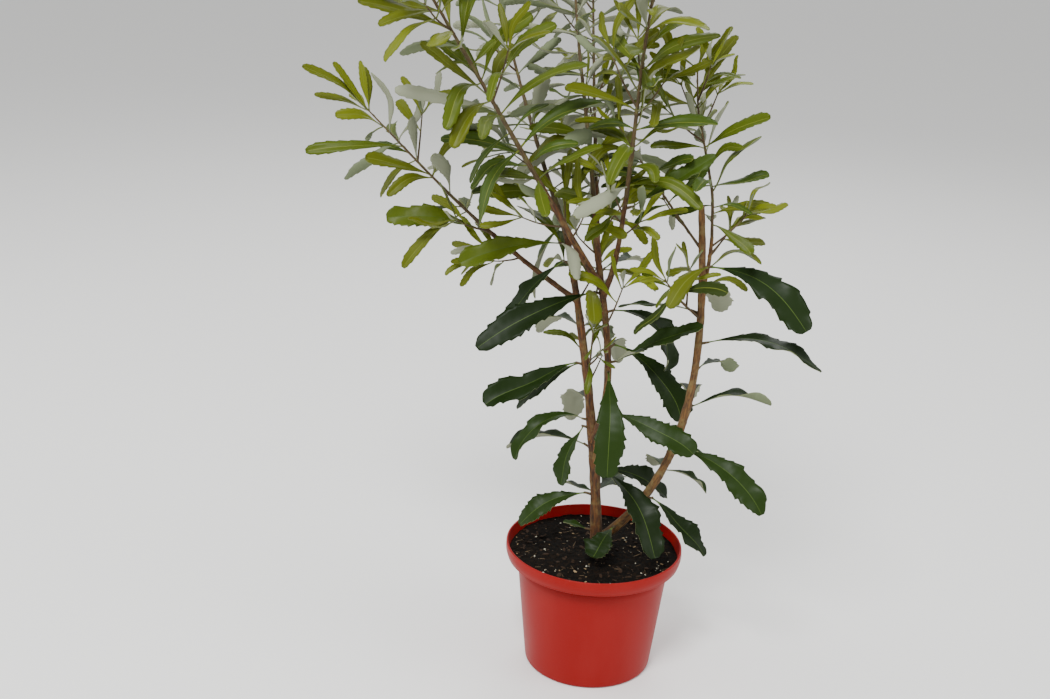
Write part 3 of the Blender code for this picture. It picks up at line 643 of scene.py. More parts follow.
def tube(path, radii, columns):
    """Points, faces and rings of a closed tube along a path. A ring is centre + (cos a side + sin a up) r.

    Side starts square to the path and is carried from ring to ring, each time made square again. Radii are
    one number for each ring, or one for each ring and column. Each end is closed by a point.
    """
    path = np.array(path, dtype=float)
    tangent = np.gradient(path, axis=0)
    tangent /= np.linalg.norm(tangent, axis=1)[:, None]
    side = np.cross(path[-1] - path[0], (0.3, 0.2, 1.0))
    side = side - tangent * (tangent @ side)[:, None]
    side /= np.linalg.norm(side, axis=1)[:, None]
    up = np.cross(tangent, side)
    angle = 2 * math.pi * np.arange(columns) / columns
    radii = np.broadcast_to(np.asarray(radii, dtype=float).reshape(len(path), -1), (len(path), columns))
    out = side[:, None] * np.cos(angle)[:, None] + up[:, None] * np.sin(angle)[:, None]
    rings = path[:, None] + out * radii[..., None]
    points = np.vstack([rings.reshape(-1, 3), path[0], path[-1]])
    return points, closed_faces(len(path), columns), rings


def run_along(path):
    """The distance from the path's start to each of its points."""
    return np.concatenate([[0], np.cumsum(np.linalg.norm(np.diff(np.array(path), axis=0), axis=1))])


def measure(points, faces):
    """The shape's centre, its greatest reach from there, and a tree for finding what it meets."""
    centre = sum(points, Vector()) / len(points)
    reach = max((point - centre).length for point in points)
    return centre, reach, BVHTree.FromPolygons(points, faces)


def remember(owner, points, faces):
    """Keeps a shape's space from anything that grows later."""
    solids.append((owner, *measure(points, faces)))


def tube_space(path, radii, columns):
    """A tube's points and faces as the space tests take them."""
    points, faces, _ = tube(path, radii, columns)
    return [Vector(point) for point in points], [tuple(face) for block in faces for face in block.tolist()]


def is_free(points, faces, ignored=None):
    """True if the shape stays in the plant's reach and misses every solid but those of the ignored owner."""
    extent = np.array(points)
    if (extent < solid_bounds[0] - BEYOND_REACH).any() or (extent > solid_bounds[1] + BEYOND_REACH).any():
        return False
    centre, reach, tree = measure(points, faces)
    for owner, other_centre, other_reach, other in solids:
        near = (centre - other_centre).length < reach + other_reach
        if near and owner != ignored and tree.overlap(other):
            return False
    return True


def limb_radii(limb, distance):
    """A straight taper, with a root flare on the trunk and a collar at the foot of each bough."""
    radii = limb.foot_radius + (limb.tip_radius - limb.foot_radius) * distance / limb.length
    if limb.parent is None:
        return radii + ROOT_FLARE * np.exp(-distance / ROOT_FLARE_HEIGHT)
    return radii * (1 + COLLAR_SHARE * np.exp(-distance / COLLAR_LENGTH))


def eased_path(path, spacing):
    """The path at even spacing, its corners rounded by a moving average whose window closes at the ends."""
    path, run = np.array(path, dtype=float), run_along(path)
    count = max(3, int(run[-1] / spacing) + 1)
    distance = np.linspace(0, run[-1], count)
    even = np.column_stack([np.interp(distance, run, path[:, k]) for k in range(3)])
    reach = np.minimum(CORNER_EASE, np.minimum(distance, run[-1] - distance))
    shifts = np.linspace(-1, 1, 9)
    around = distance[:, None] + reach[:, None] * shifts
    eased = np.stack([np.interp(around, run, path[:, k]).mean(axis=1) for k in range(3)], axis=-1)
    return np.where(reach[:, None] > 0, eased, even), distance


def bark_relief(distance, radii, columns, seed):
    """How far the bark stands out, (rings, columns): ridges along the grain, slow swellings and leaf scars.

    A ridge is a cosine round the limb whose phase wanders along it. A swelling is a sine along the limb. A
    scar is a Gaussian hump, one each step up the limb and a golden angle further round.
    """
    dice = np.random.default_rng(seed)
    angle = 2 * math.pi * np.arange(columns) / columns
    relief = np.zeros((len(distance), columns))
    for waves, rise in BARK_RIDGES:
        start = dice.uniform(*ANY_PHASE)
        wander = distance * dice.uniform(*RIDGE_DRIFT_RATE) + dice.uniform(*ANY_PHASE)
        drift = start + RIDGE_DRIFT * np.sin(wander)
        relief += rise * np.cos(waves * angle + drift[:, None])
    swelling = np.sin(distance * SWELLING_RATE + 2 * np.sin(distance * SWELLING_SHIFT_RATE))
    relief += SWELLING * swelling[:, None]
    relief *= radii[:, None]
    up = np.cumsum(dice.uniform(*SCAR_SPACING, int(distance[-1] / SCAR_SPACING[0])))
    up = up[up < distance[-1]]
    turn = np.arange(len(up)) * GOLDEN_ANGLE + dice.normal(0, SCAR_ASIDE, len(up))
    apart = np.angle(np.exp(1j * (angle[None, :] - turn[:, None])))
    along = (distance[:, None] - up) / SCAR_HIGH
    humps = np.exp(-(along[:, :, None] ** 2) - (apart[None] * radii[:, None, None] / SCAR_WIDE) ** 2)
    return relief + SCAR_RISE * humps.sum(axis=1)


def straight_grain(rings, distance):
    """Each point's place as if the wood stood straight: x and y off its axis, z along it."""
    centre = rings.mean(axis=1, keepdims=True)
    radius = np.linalg.norm(rings - centre, axis=-1)
    angle = 2 * math.pi * np.arange(rings.shape[1]) / rings.shape[1]
    along = distance[:, None] + 0 * radius
    flat = np.stack([radius * np.cos(angle), radius * np.sin(angle), along], axis=-1)
    return np.vstack([flat.reshape(-1, 3), [0, 0, distance[0]], [0, 0, distance[-1]]])


def set_grain(piece, grain):
    """Stores each point's place in the straight wood for the bark's pattern."""
    attribute = piece.data.attributes.new("grain", "FLOAT_VECTOR", "POINT")
    attribute.data.foreach_set("vector", grain.astype(np.float32).ravel())


STREAK_DRAWN_OUT = 0.16  # a streak is about six times as long as it is wide
BLOTCH = 0.011  # metres across a weathered blotch


def wood_finish(name, dark, light, grey, streak, roughness):
    """Bark seen along its grain: streaks of two browns, pale weathered blotches, and cracks in the bump."""
    material = new_finish(name, dark, roughness)
    tree = material.node_tree
    shader = tree.nodes["Principled BSDF"]
    grain = add_node(tree, "Attribute", "Vector", attribute_name="grain")
    drawn = add_node(tree, "Mapping", "Vector", {"Vector": grain, "Scale": (1, 1, STREAK_DRAWN_OUT)})
    streak_noise = {"Vector": drawn, "Scale": 1 / streak, "Detail": 5.0, "Roughness": 0.65}
    streaks = add_node(tree, "TexNoise", "Fac", streak_noise)
    share = add_node(tree, "MapRange", "Result", {"Value": streaks, "From Min": 0.36, "From Max": 0.64})
    brown = add_node(
        tree, "MixRGB", "Color", {"Fac": share, "Color1": linear(dark), "Color2": linear(light)}
    )
    blotches = add_node(tree, "TexNoise", "Fac", {"Vector": grain, "Scale": 1 / BLOTCH, "Detail": 3.0})
    weathered = add_node(
        tree, "MapRange", "Result", {"Value": blotches, "From Min": 0.50, "From Max": 0.66, "To Max": 0.7}
    )
    colour = add_node(tree, "MixRGB", "Color", {"Fac": weathered, "Color1": brown, "Color2": linear(grey)})
    tree.links.new(colour, shader.inputs["Base Color"])
    bump = add_node(tree, "Bump", "Normal", {"Height": streaks, "Strength": 0.7, "Distance": 0.0006})
    tree.links.new(bump, shader.inputs["Normal"])
    return material


young_bark = wood_finish("young_bark", "#25150a", "#633c16", "#65552f", 0.0022, 0.85)
tan_bark = wood_finish("tan_bark", "#36220f", "#6c4a20", "#716137", 0.0020, 0.85)
cut_wood = new_finish("pruned_wood", "#9a5b45", 0.75)

for name in ("pot", "soil"):
    mesh = frame["nodes"][name].data
    points = [vertex.co.copy() for vertex in mesh.vertices]
    remember(name, points, [tuple(face.vertices) for face in mesh.polygons])

for index, limb in enumerate(LIMBS):
    foot = point_on(paths[limb.parent], limb.place)[0] if limb.parent else TRUNK_FOOT
    path = stem_path(foot, limb.bearing, limb.leans, limb.length, LIMB_POINT_SPACING)
    near_foot = foot + (path[1] - foot) * NEAR_FOOT_SHARE
    if limb.parent is None:
        near_foot = Vector((foot.x, foot.y, near_foot.z))
    path.insert(1, near_foot)
    paths[limb.name] = path
    run = limb.length / (len(path) - 1) * np.arange(len(path))
    kept = limb_radii(limb, run)
    if limb.parent:
        kept[0] *= FOOT_INSIDE_SHARE
    first, last = (path[0] - path[1]).normalized() * GAP, (path[-1] - path[-2]).normalized() * GAP
    stretched = [path[0] + first, *path[1:-1], path[-1] + last]
    remember(limb.name, *tube_space(stretched, kept + GAP, LIMB_SIDES))

    if limb.parent is None:
        path = [path[0] - Vector((0, 0, TRUNK_SUNK)), *path]
    line, distance = eased_path(path, LIMB_ROW_SPACING)
    radii = limb_radii(limb, distance)
    relief = bark_relief(distance, radii, LIMB_COLUMNS, BARK_SEED + index)
    if limb.parent is None:
        angle = 2 * math.pi * np.arange(LIMB_COLUMNS) / LIMB_COLUMNS
        lobes = sum(rise * np.cos(waves * angle + phase) for waves, rise, phase in ROOT_LOBES)
        relief += ROOT_FLARE * np.exp(-distance / ROOT_FLARE_HEIGHT)[:, None] * lobes
    points, faces, rings = tube(line, radii[:, None] + relief, LIMB_COLUMNS)
    cap = np.zeros(sum(len(block) for block in faces))
    if limb.name == "bough_right":
        cap[-LIMB_COLUMNS:] = 1
    bark = tan_bark if limb.name.startswith("bough_right") else young_bark
    piece = add_piece(f"{limb.name}_wood", points, faces, [bark, cut_wood], cap)
    set_grain(piece, straight_grain(rings, distance))
    take_over(piece, "bark", limb.name)

# ---------------------------------------------------------------- crown stems and twigs
# Last year's and this year's shoots: each carries a bough on, reddish brown and downy where it is young. The
# rule, the sizes and the order of random draws are those of the solids.
STEM_POINT_SPACING = 0.050
STEM_SUNK = 0.001
STEM_SIDES = 6
TWIG_SIDES = 4
TWIG_LENGTH = 0.058
TWIG_RADIUS = 0.0012
STEM_TIP_SHARE = 0.6  # of a twig's radius
TWIG_ANGLE = 46
TWIG_UPTURN = 0.15
TWIG_CLEAR_OF_STEM = 0.008
TWIGS_FROM, TWIGS_OVER = 0.2, 0.6
CLEARANCE = 0.0012
TRIES = 8
FIRST_SEED = 11

Crown = namedtuple(
    "Crown", "name parent place bearing leans length foot_radius bare whorls leaves leaf twigs"
)
CROWNS = (
    Crown("foliage_back_left", "trunk", 1, 122, (44, 37, 30), 0.350, 0.0030, 0.012, 8, 3, 0.092, 2),
    Crown("foliage_left", "bough_left", 1, 212, (34, 34, 36), 0.345, 0.0027, 0.010, 8, 3, 0.094, 2),
    Crown("foliage_front", "bough_front", 1, -62, (9, 8, 32), 0.300, 0.0025, 0.012, 7, 3, 0.092, 2),
    Crown("foliage_back", "bough_back", 1, 100, (30, 26, 18), 0.320, 0.0022, 0.012, 7, 3, 0.090, 2),
    Crown("foliage_centre", "bough_centre", 1, 118, (14, 20, -8), 0.325, 0.0028, 0.012, 7, 3, 0.088, 1),
    Crown("foliage_far_left", "bough_far_left", 1, 165, (54, 50, 50), 0.180, 0.0021, 0.020, 3, 3, 0.084, 0),
    Crown("foliage_right", "bough_right_shoot", 1, 150, (-6, 18, -4), 0.180, 0.0018, 0.012, 4, 3, 0.076, 1),
    Crown("foliage_inner", "bough_right", 0.89, 160, (43, 40, 39), 0.165, 0.0016, 0.060, 3, 2, 0.070, 0),
    Crown("foliage_low", "bough_right", 0.715, 215, (75, 40, 55), 0.072, 0.0016, 0.045, 1, 2, 0.064, 0),
    Crown("foliage_young", "trunk", 0.56, -70, (30, 8, 4), 0.060, 0.0014, 0.020, 1, 3, 0.042, 0),
)


def off_stem(direction, angle, turn):
    """The direction at an angle from the stem's own, turned round the stem."""
    level = direction.cross(Vector((0, 0, 1)))
    level = level.normalized() if level.length > 1e-4 else Vector((1, 0, 0))
    radial = level * math.cos(turn) + direction.cross(level) * math.sin(turn)
    return direction * math.cos(math.radians(angle)) + radial * math.sin(math.radians(angle))


def grow_stem(crown):
    """The stem's path on from its bough, and its space kept."""
    foot, parent_way = point_on(paths[crown.parent], crown.place)
    path = stem_path(foot, crown.bearing, crown.leans, crown.length, STEM_POINT_SPACING)
    if crown.place == 1:
        path[0] = foot - parent_way * STEM_SUNK
    radii = np.linspace(crown.foot_radius, STEM_TIP_SHARE * TWIG_RADIUS, len(path))
    remember(crown.name, *tube_space(path, radii, STEM_SIDES))
    return path


def grow_twigs(crown, path, dice):
    """Side twigs at an angle from the stem, each where it misses all that stands."""
    twigs = []
    for index in range(crown.twigs):
        own = random.Random(dice.random())
        for _ in range(TRIES):
            share = TWIGS_FROM + TWIGS_OVER * (index + own.random()) / crown.twigs
            place, direction = point_on(path, share)
            way = off_stem(direction, TWIG_ANGLE, own.uniform(0, 2 * math.pi))
            if start_twig(crown.name, place, way, TWIG_LENGTH, twigs):
                break
    return twigs


def start_twig(owner, place, way, length, twigs):
    """Keeps a twig that turns up a little towards its tip if it misses all that stands."""
    middle = place + way * length * 0.5
    tip = place + (way + Vector((0, 0, TWIG_UPTURN))) * length
    beside = [place + way * TWIG_CLEAR_OF_STEM, middle, tip]
    space = tube_space(beside, [TWIG_RADIUS + CLEARANCE] * 3, TWIG_SIDES)
    if not is_free(*space):
        return False
    twigs.append([place, middle, tip])
    remember(owner, *space)
    return True


stems = [(crown, grow_stem(crown)) for crown in CROWNS]
growth = []
for index, (crown, path) in enumerate(stems):
    dice = random.Random(FIRST_SEED + index)
    growth.append((crown, path, grow_twigs(crown, path, dice), dice))

# ---------------------------------------------------------------- large leaves
# The oldest leaves, on short spurs of the trunk and boughs: leathery, dark and waxy above, felted silver
# below, with a pale rib, toothed wavy edges and a long tapered stalk.
SPUR_LENGTH = 0.008
SPUR_RADIUS = 0.0017
SPUR_LEAN = 70
ROOT_SUNK = 0.0020
ROOT_SPACING = 0.0016
TURN_ASIDE = 8
LARGE_STATIONS = ((0.00, None), (0.14, 0.14), (0.42, 0.66), (0.72, 1.00), (0.92, 0.80), (1.00, 0.38))
PETIOLE_HALF_WIDTH = 0.0006
BLADE_THICKNESS_SHARE = 0.011
BLADE_LEAST_THICKNESS = 0.0009

Spray = namedtuple("Spray", "name parent place leaves")
Blade = namedtuple("Blade", "bearing rise droop length width twist")
Leaf = namedtuple("Leaf", "root blade tone")
# How a kind of leaf is drawn: its rows, corners and outline, the colours of its rib and edge, the share of
# leaves that show their underside, and the spreads of its bends (degrees) and waves.
Form = namedtuple(
    "Form",
    "shares outline teeth across below stalk rib edge slimness turned taper sway twist fold ripple waves",
)
SPRAYS = (
    Spray("leaves_foot", "bough_right", 0.075, [Blade(-114, -12, 24, 0.050, 0.034, 0)]),
    Spray("leaves_foot_left", "trunk", 0.060, [Blade(200, 30, 20, 0.030, 0.014, -20)]),
    Spray("leaves_rim_left", "trunk", 0.180, [Blade(197, -2, 45, 0.086, 0.030, -35)]),
    Spray(
        "leaves_rim_back", "trunk", 0.165,
        [Blade(140, 15, 40, 0.048, 0.018, 0), Blade(65, 15, 35, 0.075, 0.026, 0)],
    ),
    Spray(
        "leaves_low_front", "trunk", 0.265,
        [Blade(-44, -18, 42, 0.122, 0.042, 12), Blade(4, -6, 45, 0.096, 0.034, 40)],
    ),
    Spray("leaves_low_left", "trunk", 0.400, [Blade(207, -62, 18, 0.074, 0.028, -20)]),
    Spray("leaves_low_back", "trunk", 0.470, [Blade(105, -5, 60, 0.110, 0.034, 0)]),
    Spray("leaves_arch_left", "trunk", 0.425, [Blade(216, 36, 115, 0.110, 0.024, -20)]),
    Spray("leaves_low_right", "bough_centre", 0.140, [Blade(-22, 10, 50, 0.104, 0.034, 45)]),
    Spray(
        "leaves_mid_left", "trunk", 0.600,
        [Blade(213, 4, 44, 0.116, 0.031, -40), Blade(192, -22, 34, 0.086, 0.028, -35)],
    ),
    Spray(
        "leaves_mid_back", "trunk", 0.700,
        [Blade(70, 5, 60, 0.105, 0.032, 0), Blade(120, 10, 60, 0.100, 0.030, 0)],
    ),
    Spray("leaves_upper_left", "trunk", 0.910, [Blade(186, -36, 32, 0.098, 0.030, -30)]),
    Spray("leaves_arm_left", "trunk", 0.965, [Blade(200, 6, 32, 0.112, 0.028, -40)]),
    Spray("leaves_fork_left", "bough_centre", 0.655, [Blade(209, -4, 34, 0.146, 0.038, -40)]),
    Spray("leaves_hanging", "bough_centre", 0.335, [Blade(-88, -12, 75, 0.128, 0.036, 0)]),
    Spray("leaves_inner_right", "bough_centre", 0.580, [Blade(5, 3, 100, 0.108, 0.036, 30)]),
    Spray(
        "leaves_inner_back", "bough_centre", 0.430,
        [Blade(10, -12, 70, 0.124, 0.034, 50), Blade(88, 0, 60, 0.105, 0.032, 0)],
    ),
    Spray(
        "leaves_inner_front", "bough_centre", 0.375,
        [Blade(-14, 35, 10, 0.106, 0.026, 40), Blade(-45, 40, 20, 0.050, 0.014, 0)],
    ),
    Spray("leaves_right_foot", "bough_right", 0.185, [Blade(-15, -20, 42, 0.088, 0.031, 30)]),
    Spray(
        "leaves_right_silver", "bough_right", 0.270,
        [Blade(12, 0, 60, 0.060, 0.020, 0), Blade(95, 5, 50, 0.085, 0.028, 0)],
    ),
    Spray(
        "leaves_right_low", "bough_right", 0.345,
        [Blade(-24, 4, 62, 0.118, 0.038, 35), Blade(25, 0, 50, 0.052, 0.016, 0)],
    ),
    Spray(
        "leaves_right_mid", "bough_right", 0.465,
        [Blade(0, 28, 45, 0.090, 0.023, 0), Blade(100, 15, 60, 0.100, 0.030, 0)],
    ),
    Spray("leaves_right_long", "bough_right", 0.650, [Blade(-22, 24, 54, 0.132, 0.028, 20)]),
    Spray("leaves_right_inner", "bough_right", 0.728, [Blade(178, 22, 48, 0.080, 0.014, 0)]),
    Spray("leaves_right_big", "bough_right", 0.846, [Blade(-34, 7, 55, 0.132, 0.040, 35)]),
    Spray("leaves_back_left", "trunk", 0.330, [Blade(152, 12, 55, 0.104, 0.032, 0)]),
    Spray("leaves_back_centre", "bough_centre", 0.740, [Blade(62, 16, 50, 0.100, 0.028, 0)]),
    Spray("leaves_back_right", "bough_right", 0.570, [Blade(62, 12, 60, 0.104, 0.030, 0)]),
    Spray("leaves_right_back", "bough_right", 0.790, [Blade(70, -5, 60, 0.088, 0.034, 0)]),
    Spray("leaves_far_left", "bough_far_left", 0.880, [Blade(192, 20, 26, 0.108, 0.028, -35)]),
    Spray("leaves_front", "bough_front", 0.900, [Blade(-8, 40, 8, 0.100, 0.024, 40)]),
)


def blade_shape(root, blade, stations, margin=0.0, first=0):
    """Rings of three points along a leaf that bends down as it goes: its two edges, and its keel below."""
    thickness = max(BLADE_LEAST_THICKNESS, BLADE_THICKNESS_SHARE * blade.length)
    side = Vector((-math.sin(math.radians(blade.bearing)), math.cos(math.radians(blade.bearing)), 0))
    twist = math.radians(blade.twist)
    points, place, reached = [], root.copy(), 0.0
    for share, width_share in stations:
        along = heading(blade.bearing, 90 - blade.rise + blade.droop * (reached + share) / 2)
        place = place + along * (blade.length * (share - reached))
        reached = share
        up = heading(blade.bearing, 90 - blade.rise + blade.droop * share).cross(side)
        across = side * math.cos(twist) + up * math.sin(twist)
        normal = up * math.cos(twist) - side * math.sin(twist)
        half = PETIOLE_HALF_WIDTH if width_share is None else blade.width / 2 * width_share
        top = place + normal * (thickness / 3 + margin)
        points += [
            top - across * (half + margin),
            top + across * (half + margin),
            place - normal * (2 * thickness / 3 + margin),
        ]
    points = points[3 * first :]
    last = len(points) - 3
    faces = [(0, 1, 2), (last + 2, last + 1, last)]
    for ring in range(0, last, 3):
        for k in range(3):
            near, far = ring + k, ring + (k + 1) % 3
            faces.append((near, near + 3, far + 3, far))
    return points, faces


def add_leaf(owner, root, blade, stations, tone, kept):
    """Keeps one leaf for its mass if it misses other pieces, and its blade misses its own mass too."""
    whole = blade_shape(root, blade, stations, CLEARANCE)
    beyond_petiole = blade_shape(root, blade, stations, CLEARANCE, 1)
    if not is_free(*whole, owner) or not is_free(*beyond_petiole):
        return False
    kept.append(Leaf(root, blade, tone))
    remember(owner, *blade_shape(root, blade, stations))
    return True


def leaf_surfaces(leaves, form, seed):
    """Points (leaf, row, corner, xyz) of many leaves of one kind at once.

    A row lies at a share s of the length. The centre line starts at the root and runs along the heading of
    lean 90 - rise + droop s, summed over s. A corner stands off it by t times the half width across, and by
    fold |t| + wave t^2 sin(k s) times the half width up, so that the two halves lift and the edges ripple.
    The last corners lie under the first by the blade's thickness.
    """
    dice = np.random.default_rng(seed)
    count = len(leaves)
    shares, outline = form.shares, form.outline
    root = np.array([leaf.root for leaf in leaves])
    bearing, rise, droop, length, width, twist = np.array([leaf.blade for leaf in leaves]).T[:, :, None]
    s = shares[None, :]
    bend, sway, dip = (dice.normal(0, spread, (count, 1)) for spread in form.sway)
    turn = np.radians(bearing + bend * s**2 + sway * np.sin(2 * math.pi * s))
    lean = np.radians(90 - rise + droop * s + dip * np.sin(2 * math.pi * s))
    along = np.stack([np.sin(lean) * np.cos(turn), np.sin(lean) * np.sin(turn), np.cos(lean)], axis=-1)
    runs = (along[:, 1:] + along[:, :-1]) / 2 * np.diff(shares)[None, :, None]
    centre = np.concatenate([np.zeros((count, 1, 3)), np.cumsum(runs, axis=1)], axis=1)
    centre = root[:, None] + centre * length[..., None]
    side = np.stack([-np.sin(turn), np.cos(turn), 0 * turn], axis=-1)
    up = np.cross(along, side)
    over = 180 * (dice.uniform(0, 1, (count, 1)) < form.turned)
    angle = np.radians(twist + over + dice.normal(0, form.twist, (count, 1)) * (s - 0.4))[..., None]
    sideways = side * np.cos(angle) + up * np.sin(angle)
    normal = up * np.cos(angle) - side * np.sin(angle)

    narrowing = 1 - dice.uniform(*form.taper, (count, 1)) * np.clip(s - TAPER_FROM, 0, 1)
    half = np.maximum(form.slimness * width / 2 * outline[None, :] * narrowing, PETIOLE_HALF_WIDTH)
    saws = [form.teeth(shares, dice.uniform(*ANY_PHASE, (count, 1))) for _ in range(2)]
    left, right = (np.where(outline > TOOTHED_ABOVE, saw, 1.0) for saw in saws)
    fold = np.radians(dice.uniform(*form.fold, (count, 1))) * np.clip(outline * 2, 0, 1)
    waves = dice.uniform(*form.waves, (count, 1)) * 2 * math.pi
    ripple = dice.uniform(*form.ripple, (count, 1)) * np.clip((shares - 0.2) * 3, 0, 1)
    starts = dice.uniform(*ANY_PHASE, (2, count, 1))

    def offsets(t):
        """How far across and up the top surface lies at t, -1 to 1 between the edges."""
        edge = 1 + ((left if t < 0 else right) - 1) * abs(t) ** 3
        lift = fold * abs(t) + ripple * t * t * np.sin(waves * s + starts[int(t > 0)])
        if abs(t) < BESIDE_RIB:
            lift = lift - RIB_GROOVE
        elif abs(t) < 1:
            lift = lift + VEIN_RISE * np.sin(VEINS * s - VEIN_SLANT * abs(t))
        return t * half * edge, half * lift

    points = []
    for t, under in [(t, False) for t in form.across] + [(t, True) for t in form.below]:
        x, z = offsets(t)
        keel = (EDGE_THICKNESS if abs(t) == 1 else BLADE_THICKNESS) + RIB_KEEL * (1 - 0.6 * s) * (t == 0)
        points.append(centre + sideways * x[..., None] + normal * (z - keel * under)[..., None])
    return np.stack(points, axis=2)


def leaf_faces(points, leaves, form):
    """Blocks of faces for points of (leaf, row, corner), and each face's pick among the finishes."""
    count, rows, corners, _ = points.shape
    tops = len(form.across) - 1
    quads = ring_faces(rows, corners).reshape(rows - 1, corners, 4)
    quads[:, tops + 1 : -1] = np.roll(quads[:, tops + 1 : -1], -1, axis=2)  # split as the faces above them
    tones = FIRST_TONE + np.array([leaf.tone for leaf in leaves])
    # Two leaves in five take the shaded felt below: the same felt, darker and greener, as painted shade.
    shaded_felt_leaves = np.isin(np.arange(count) % 5, (1, 4))  # two leaves in five
    picks = np.zeros((count, rows - 1, corners), dtype=int)
    picks[:] = np.where(shaded_felt_leaves, SHADED_FELT, FELT)[:, None, None]
    picks[:, :, :tops] = tones[:, None, None]
    picks[:, :, [tops, -1]] = form.edge
    picks[:, :, tops // 2] = form.rib
    picks[:, form.shares[1:] <= form.stalk, :tops] = form.rib
    ends = np.array([[0, k, k + 1] for k in range(1, corners - 1)])
    fans = np.vstack([ends[:, ::-1], ends + (rows - 1) * corners])
    shift = (np.arange(count) * rows * corners)[:, None, None]
    blocks = [(quads.reshape(-1, 4) + shift).reshape(-1, 4), (fans + shift).reshape(-1, 3)]
    return blocks, np.concatenate([picks.ravel(), np.full(count * len(fans), form.rib)])


TOOTHED_ABOVE = 0.3  # share of the full width
BESIDE_RIB = 0.2  # share of the half width
RIB_GROOVE = 0.03
RIB_KEEL = 0.0007
VEIN_RISE = 0.018
VEINS = 80
VEIN_SLANT = 9
TAPER_FROM = 0.55
BLADE_THICKNESS = 0.0007
EDGE_THICKNESS = 0.0004
RIB, YOUNG_RIB, PALE_EDGE, FELT, SHADED_FELT, FIRST_TONE = range(6)
TONES = {
    "leaf_dark": "#152506", "leaf_deep": "#111f05", "leaf_mid": "#1e3008", "leaf_dull": "#2b3712",
    "leaf_green": "#384a12", "leaf_fresh": "#48550f", "leaf_olive": "#535a10", "leaf_yellow": "#616914",
    "leaf_young": "#707a1c",
}
# A waxy skin above, a matt rib and edge, and a dense white felt below that looks grey green.
finishes = [
    new_finish("leaf_rib", "#43571f", 0.5, 0.16),
    new_finish("leaf_rib_young", "#646d26", 0.5, 0.16),
    new_finish("leaf_edge", "#7d8358", 0.6, 0.16),
    new_finish("leaf_felt", "#8a8e78", 0.9, 0.1),
    # The shaded felt is the felt again, darker and greener: painted shade on the undersides.
    new_finish("leaf_felt_shaded", "#6d765a", 0.9, 0.1),
    *[new_finish(name, colour, 0.42, 0.13) for name, colour in TONES.items()],
]
TONE_NUMBER = {name: index for index, name in enumerate(TONES)}


def add_leaves(name, leaves, form, seed, nodes):
    """Joins the leaves of one form into one piece that stands for the nodes."""
    points = leaf_surfaces(leaves, form, seed)
    blocks, picks = leaf_faces(points, leaves, form)
    piece = add_piece(name, points.reshape(-1, 3), blocks, finishes, picks)
    take_over(piece, "leaf_green", *nodes)
    return piece


LARGE_SEED = 40
LARGE_ROWS = 72
LARGE_OUTLINE = (
    (0, 0.10), (0.05, 0.05), (0.10, 0.07), (0.16, 0.15), (0.26, 0.34), (0.38, 0.58), (0.50, 0.78),
    (0.60, 0.92), (0.70, 1.0), (0.80, 1.0), (0.88, 0.93), (0.94, 0.80), (0.975, 0.62), (1.0, 0.34),
)
LARGE_TEETH = 10
LARGE_TOOTH_DEPTH = 0.26


def large_teeth(shares, start):
    """The edge's factor on the half width: saw teeth that point to the tip, unevenly spaced, on slow lobes.

    The phase is the number of teeth so far plus a sine. A tooth is the 1.5th power of its fractional part,
    times a depth that varies as a sine of the phase. The lobes are two sines along the leaf.
    """
    phase = LARGE_TEETH * shares + 0.9 * np.sin(5 * shares + start) + start
    tooth = np.mod(phase, 1.0) ** 1.5 - 0.55
    lobes = 0.07 * np.sin(13 * shares + 3 * start) + 0.05 * np.sin(23 * shares + 5 * start)
    return 1 + LARGE_TOOTH_DEPTH * tooth * (0.7 + 0.3 * np.sin(2.3 * phase + start)) + lobes


SUNLIT_ABOVE = 0.485
SHADE_TONES = ["leaf_dark", "leaf_deep", "leaf_mid"]
SUN_TONES = ["leaf_green", "leaf_fresh"]
TONE_SEED = 3
tone_dice = random.Random(TONE_SEED)
spurs = []
large = {}
for spray in SPRAYS:
    limb = next(limb for limb in LIMBS if limb.name == spray.parent)
    foot, _ = point_on(paths[spray.parent], spray.place)
    bearing = sum(blade.bearing for blade in spray.leaves) / len(spray.leaves)
    way = heading(bearing, SPUR_LEAN)
    limb_radius = limb.foot_radius + (limb.tip_radius - limb.foot_radius) * spray.place
    spur = [foot, foot + way * (limb_radius + SPUR_LENGTH)]
    remember(spray.name, *tube_space(spur, [SPUR_RADIUS, SPUR_RADIUS], STEM_SIDES))
    spurs.append((spray, spur))
    tone = TONE_NUMBER[tone_dice.choice(SHADE_TONES if foot.z < SUNLIT_ABOVE else SUN_TONES)]
    kept = large.setdefault(spray.parent, [])
    for index, blade in enumerate(spray.leaves):
        root = spur[1] - way * (ROOT_SUNK + ROOT_SPACING * index)
        for turned_by in range(TRIES):
            aside = TURN_ASIDE * ((turned_by + 1) // 2) * (-1) ** turned_by
            turned = blade._replace(bearing=blade.bearing + aside)
            if add_leaf(spray.name, root, turned, LARGE_STATIONS, tone, kept):
                break

large_shares = np.linspace(0, 1, LARGE_ROWS)
large_outline = np.interp(large_shares, *np.array(LARGE_OUTLINE).T)
large_form = Form(
    large_shares, large_outline, large_teeth,
    across=(-1, -0.78, -0.45, -0.02, 0.02, 0.45, 0.78, 1), below=(1, 0.7, 0.35, 0, -0.35, -0.7, -1),
    stalk=0.13, rib=RIB, edge=PALE_EDGE, slimness=0.94, turned=0.0, taper=(0.0, 1.2), sway=(8, 5, 7),
    twist=30, fold=(2, 26), ripple=(0.10, 0.30), waves=(1.6, 3.4),
)
for index, (limb, leaves) in enumerate(large.items()):
    nodes = [spray.name for spray in SPRAYS if spray.parent == limb]
    add_leaves(f"large_leaves_{limb}", leaves, large_form, LARGE_SEED + index, nodes)

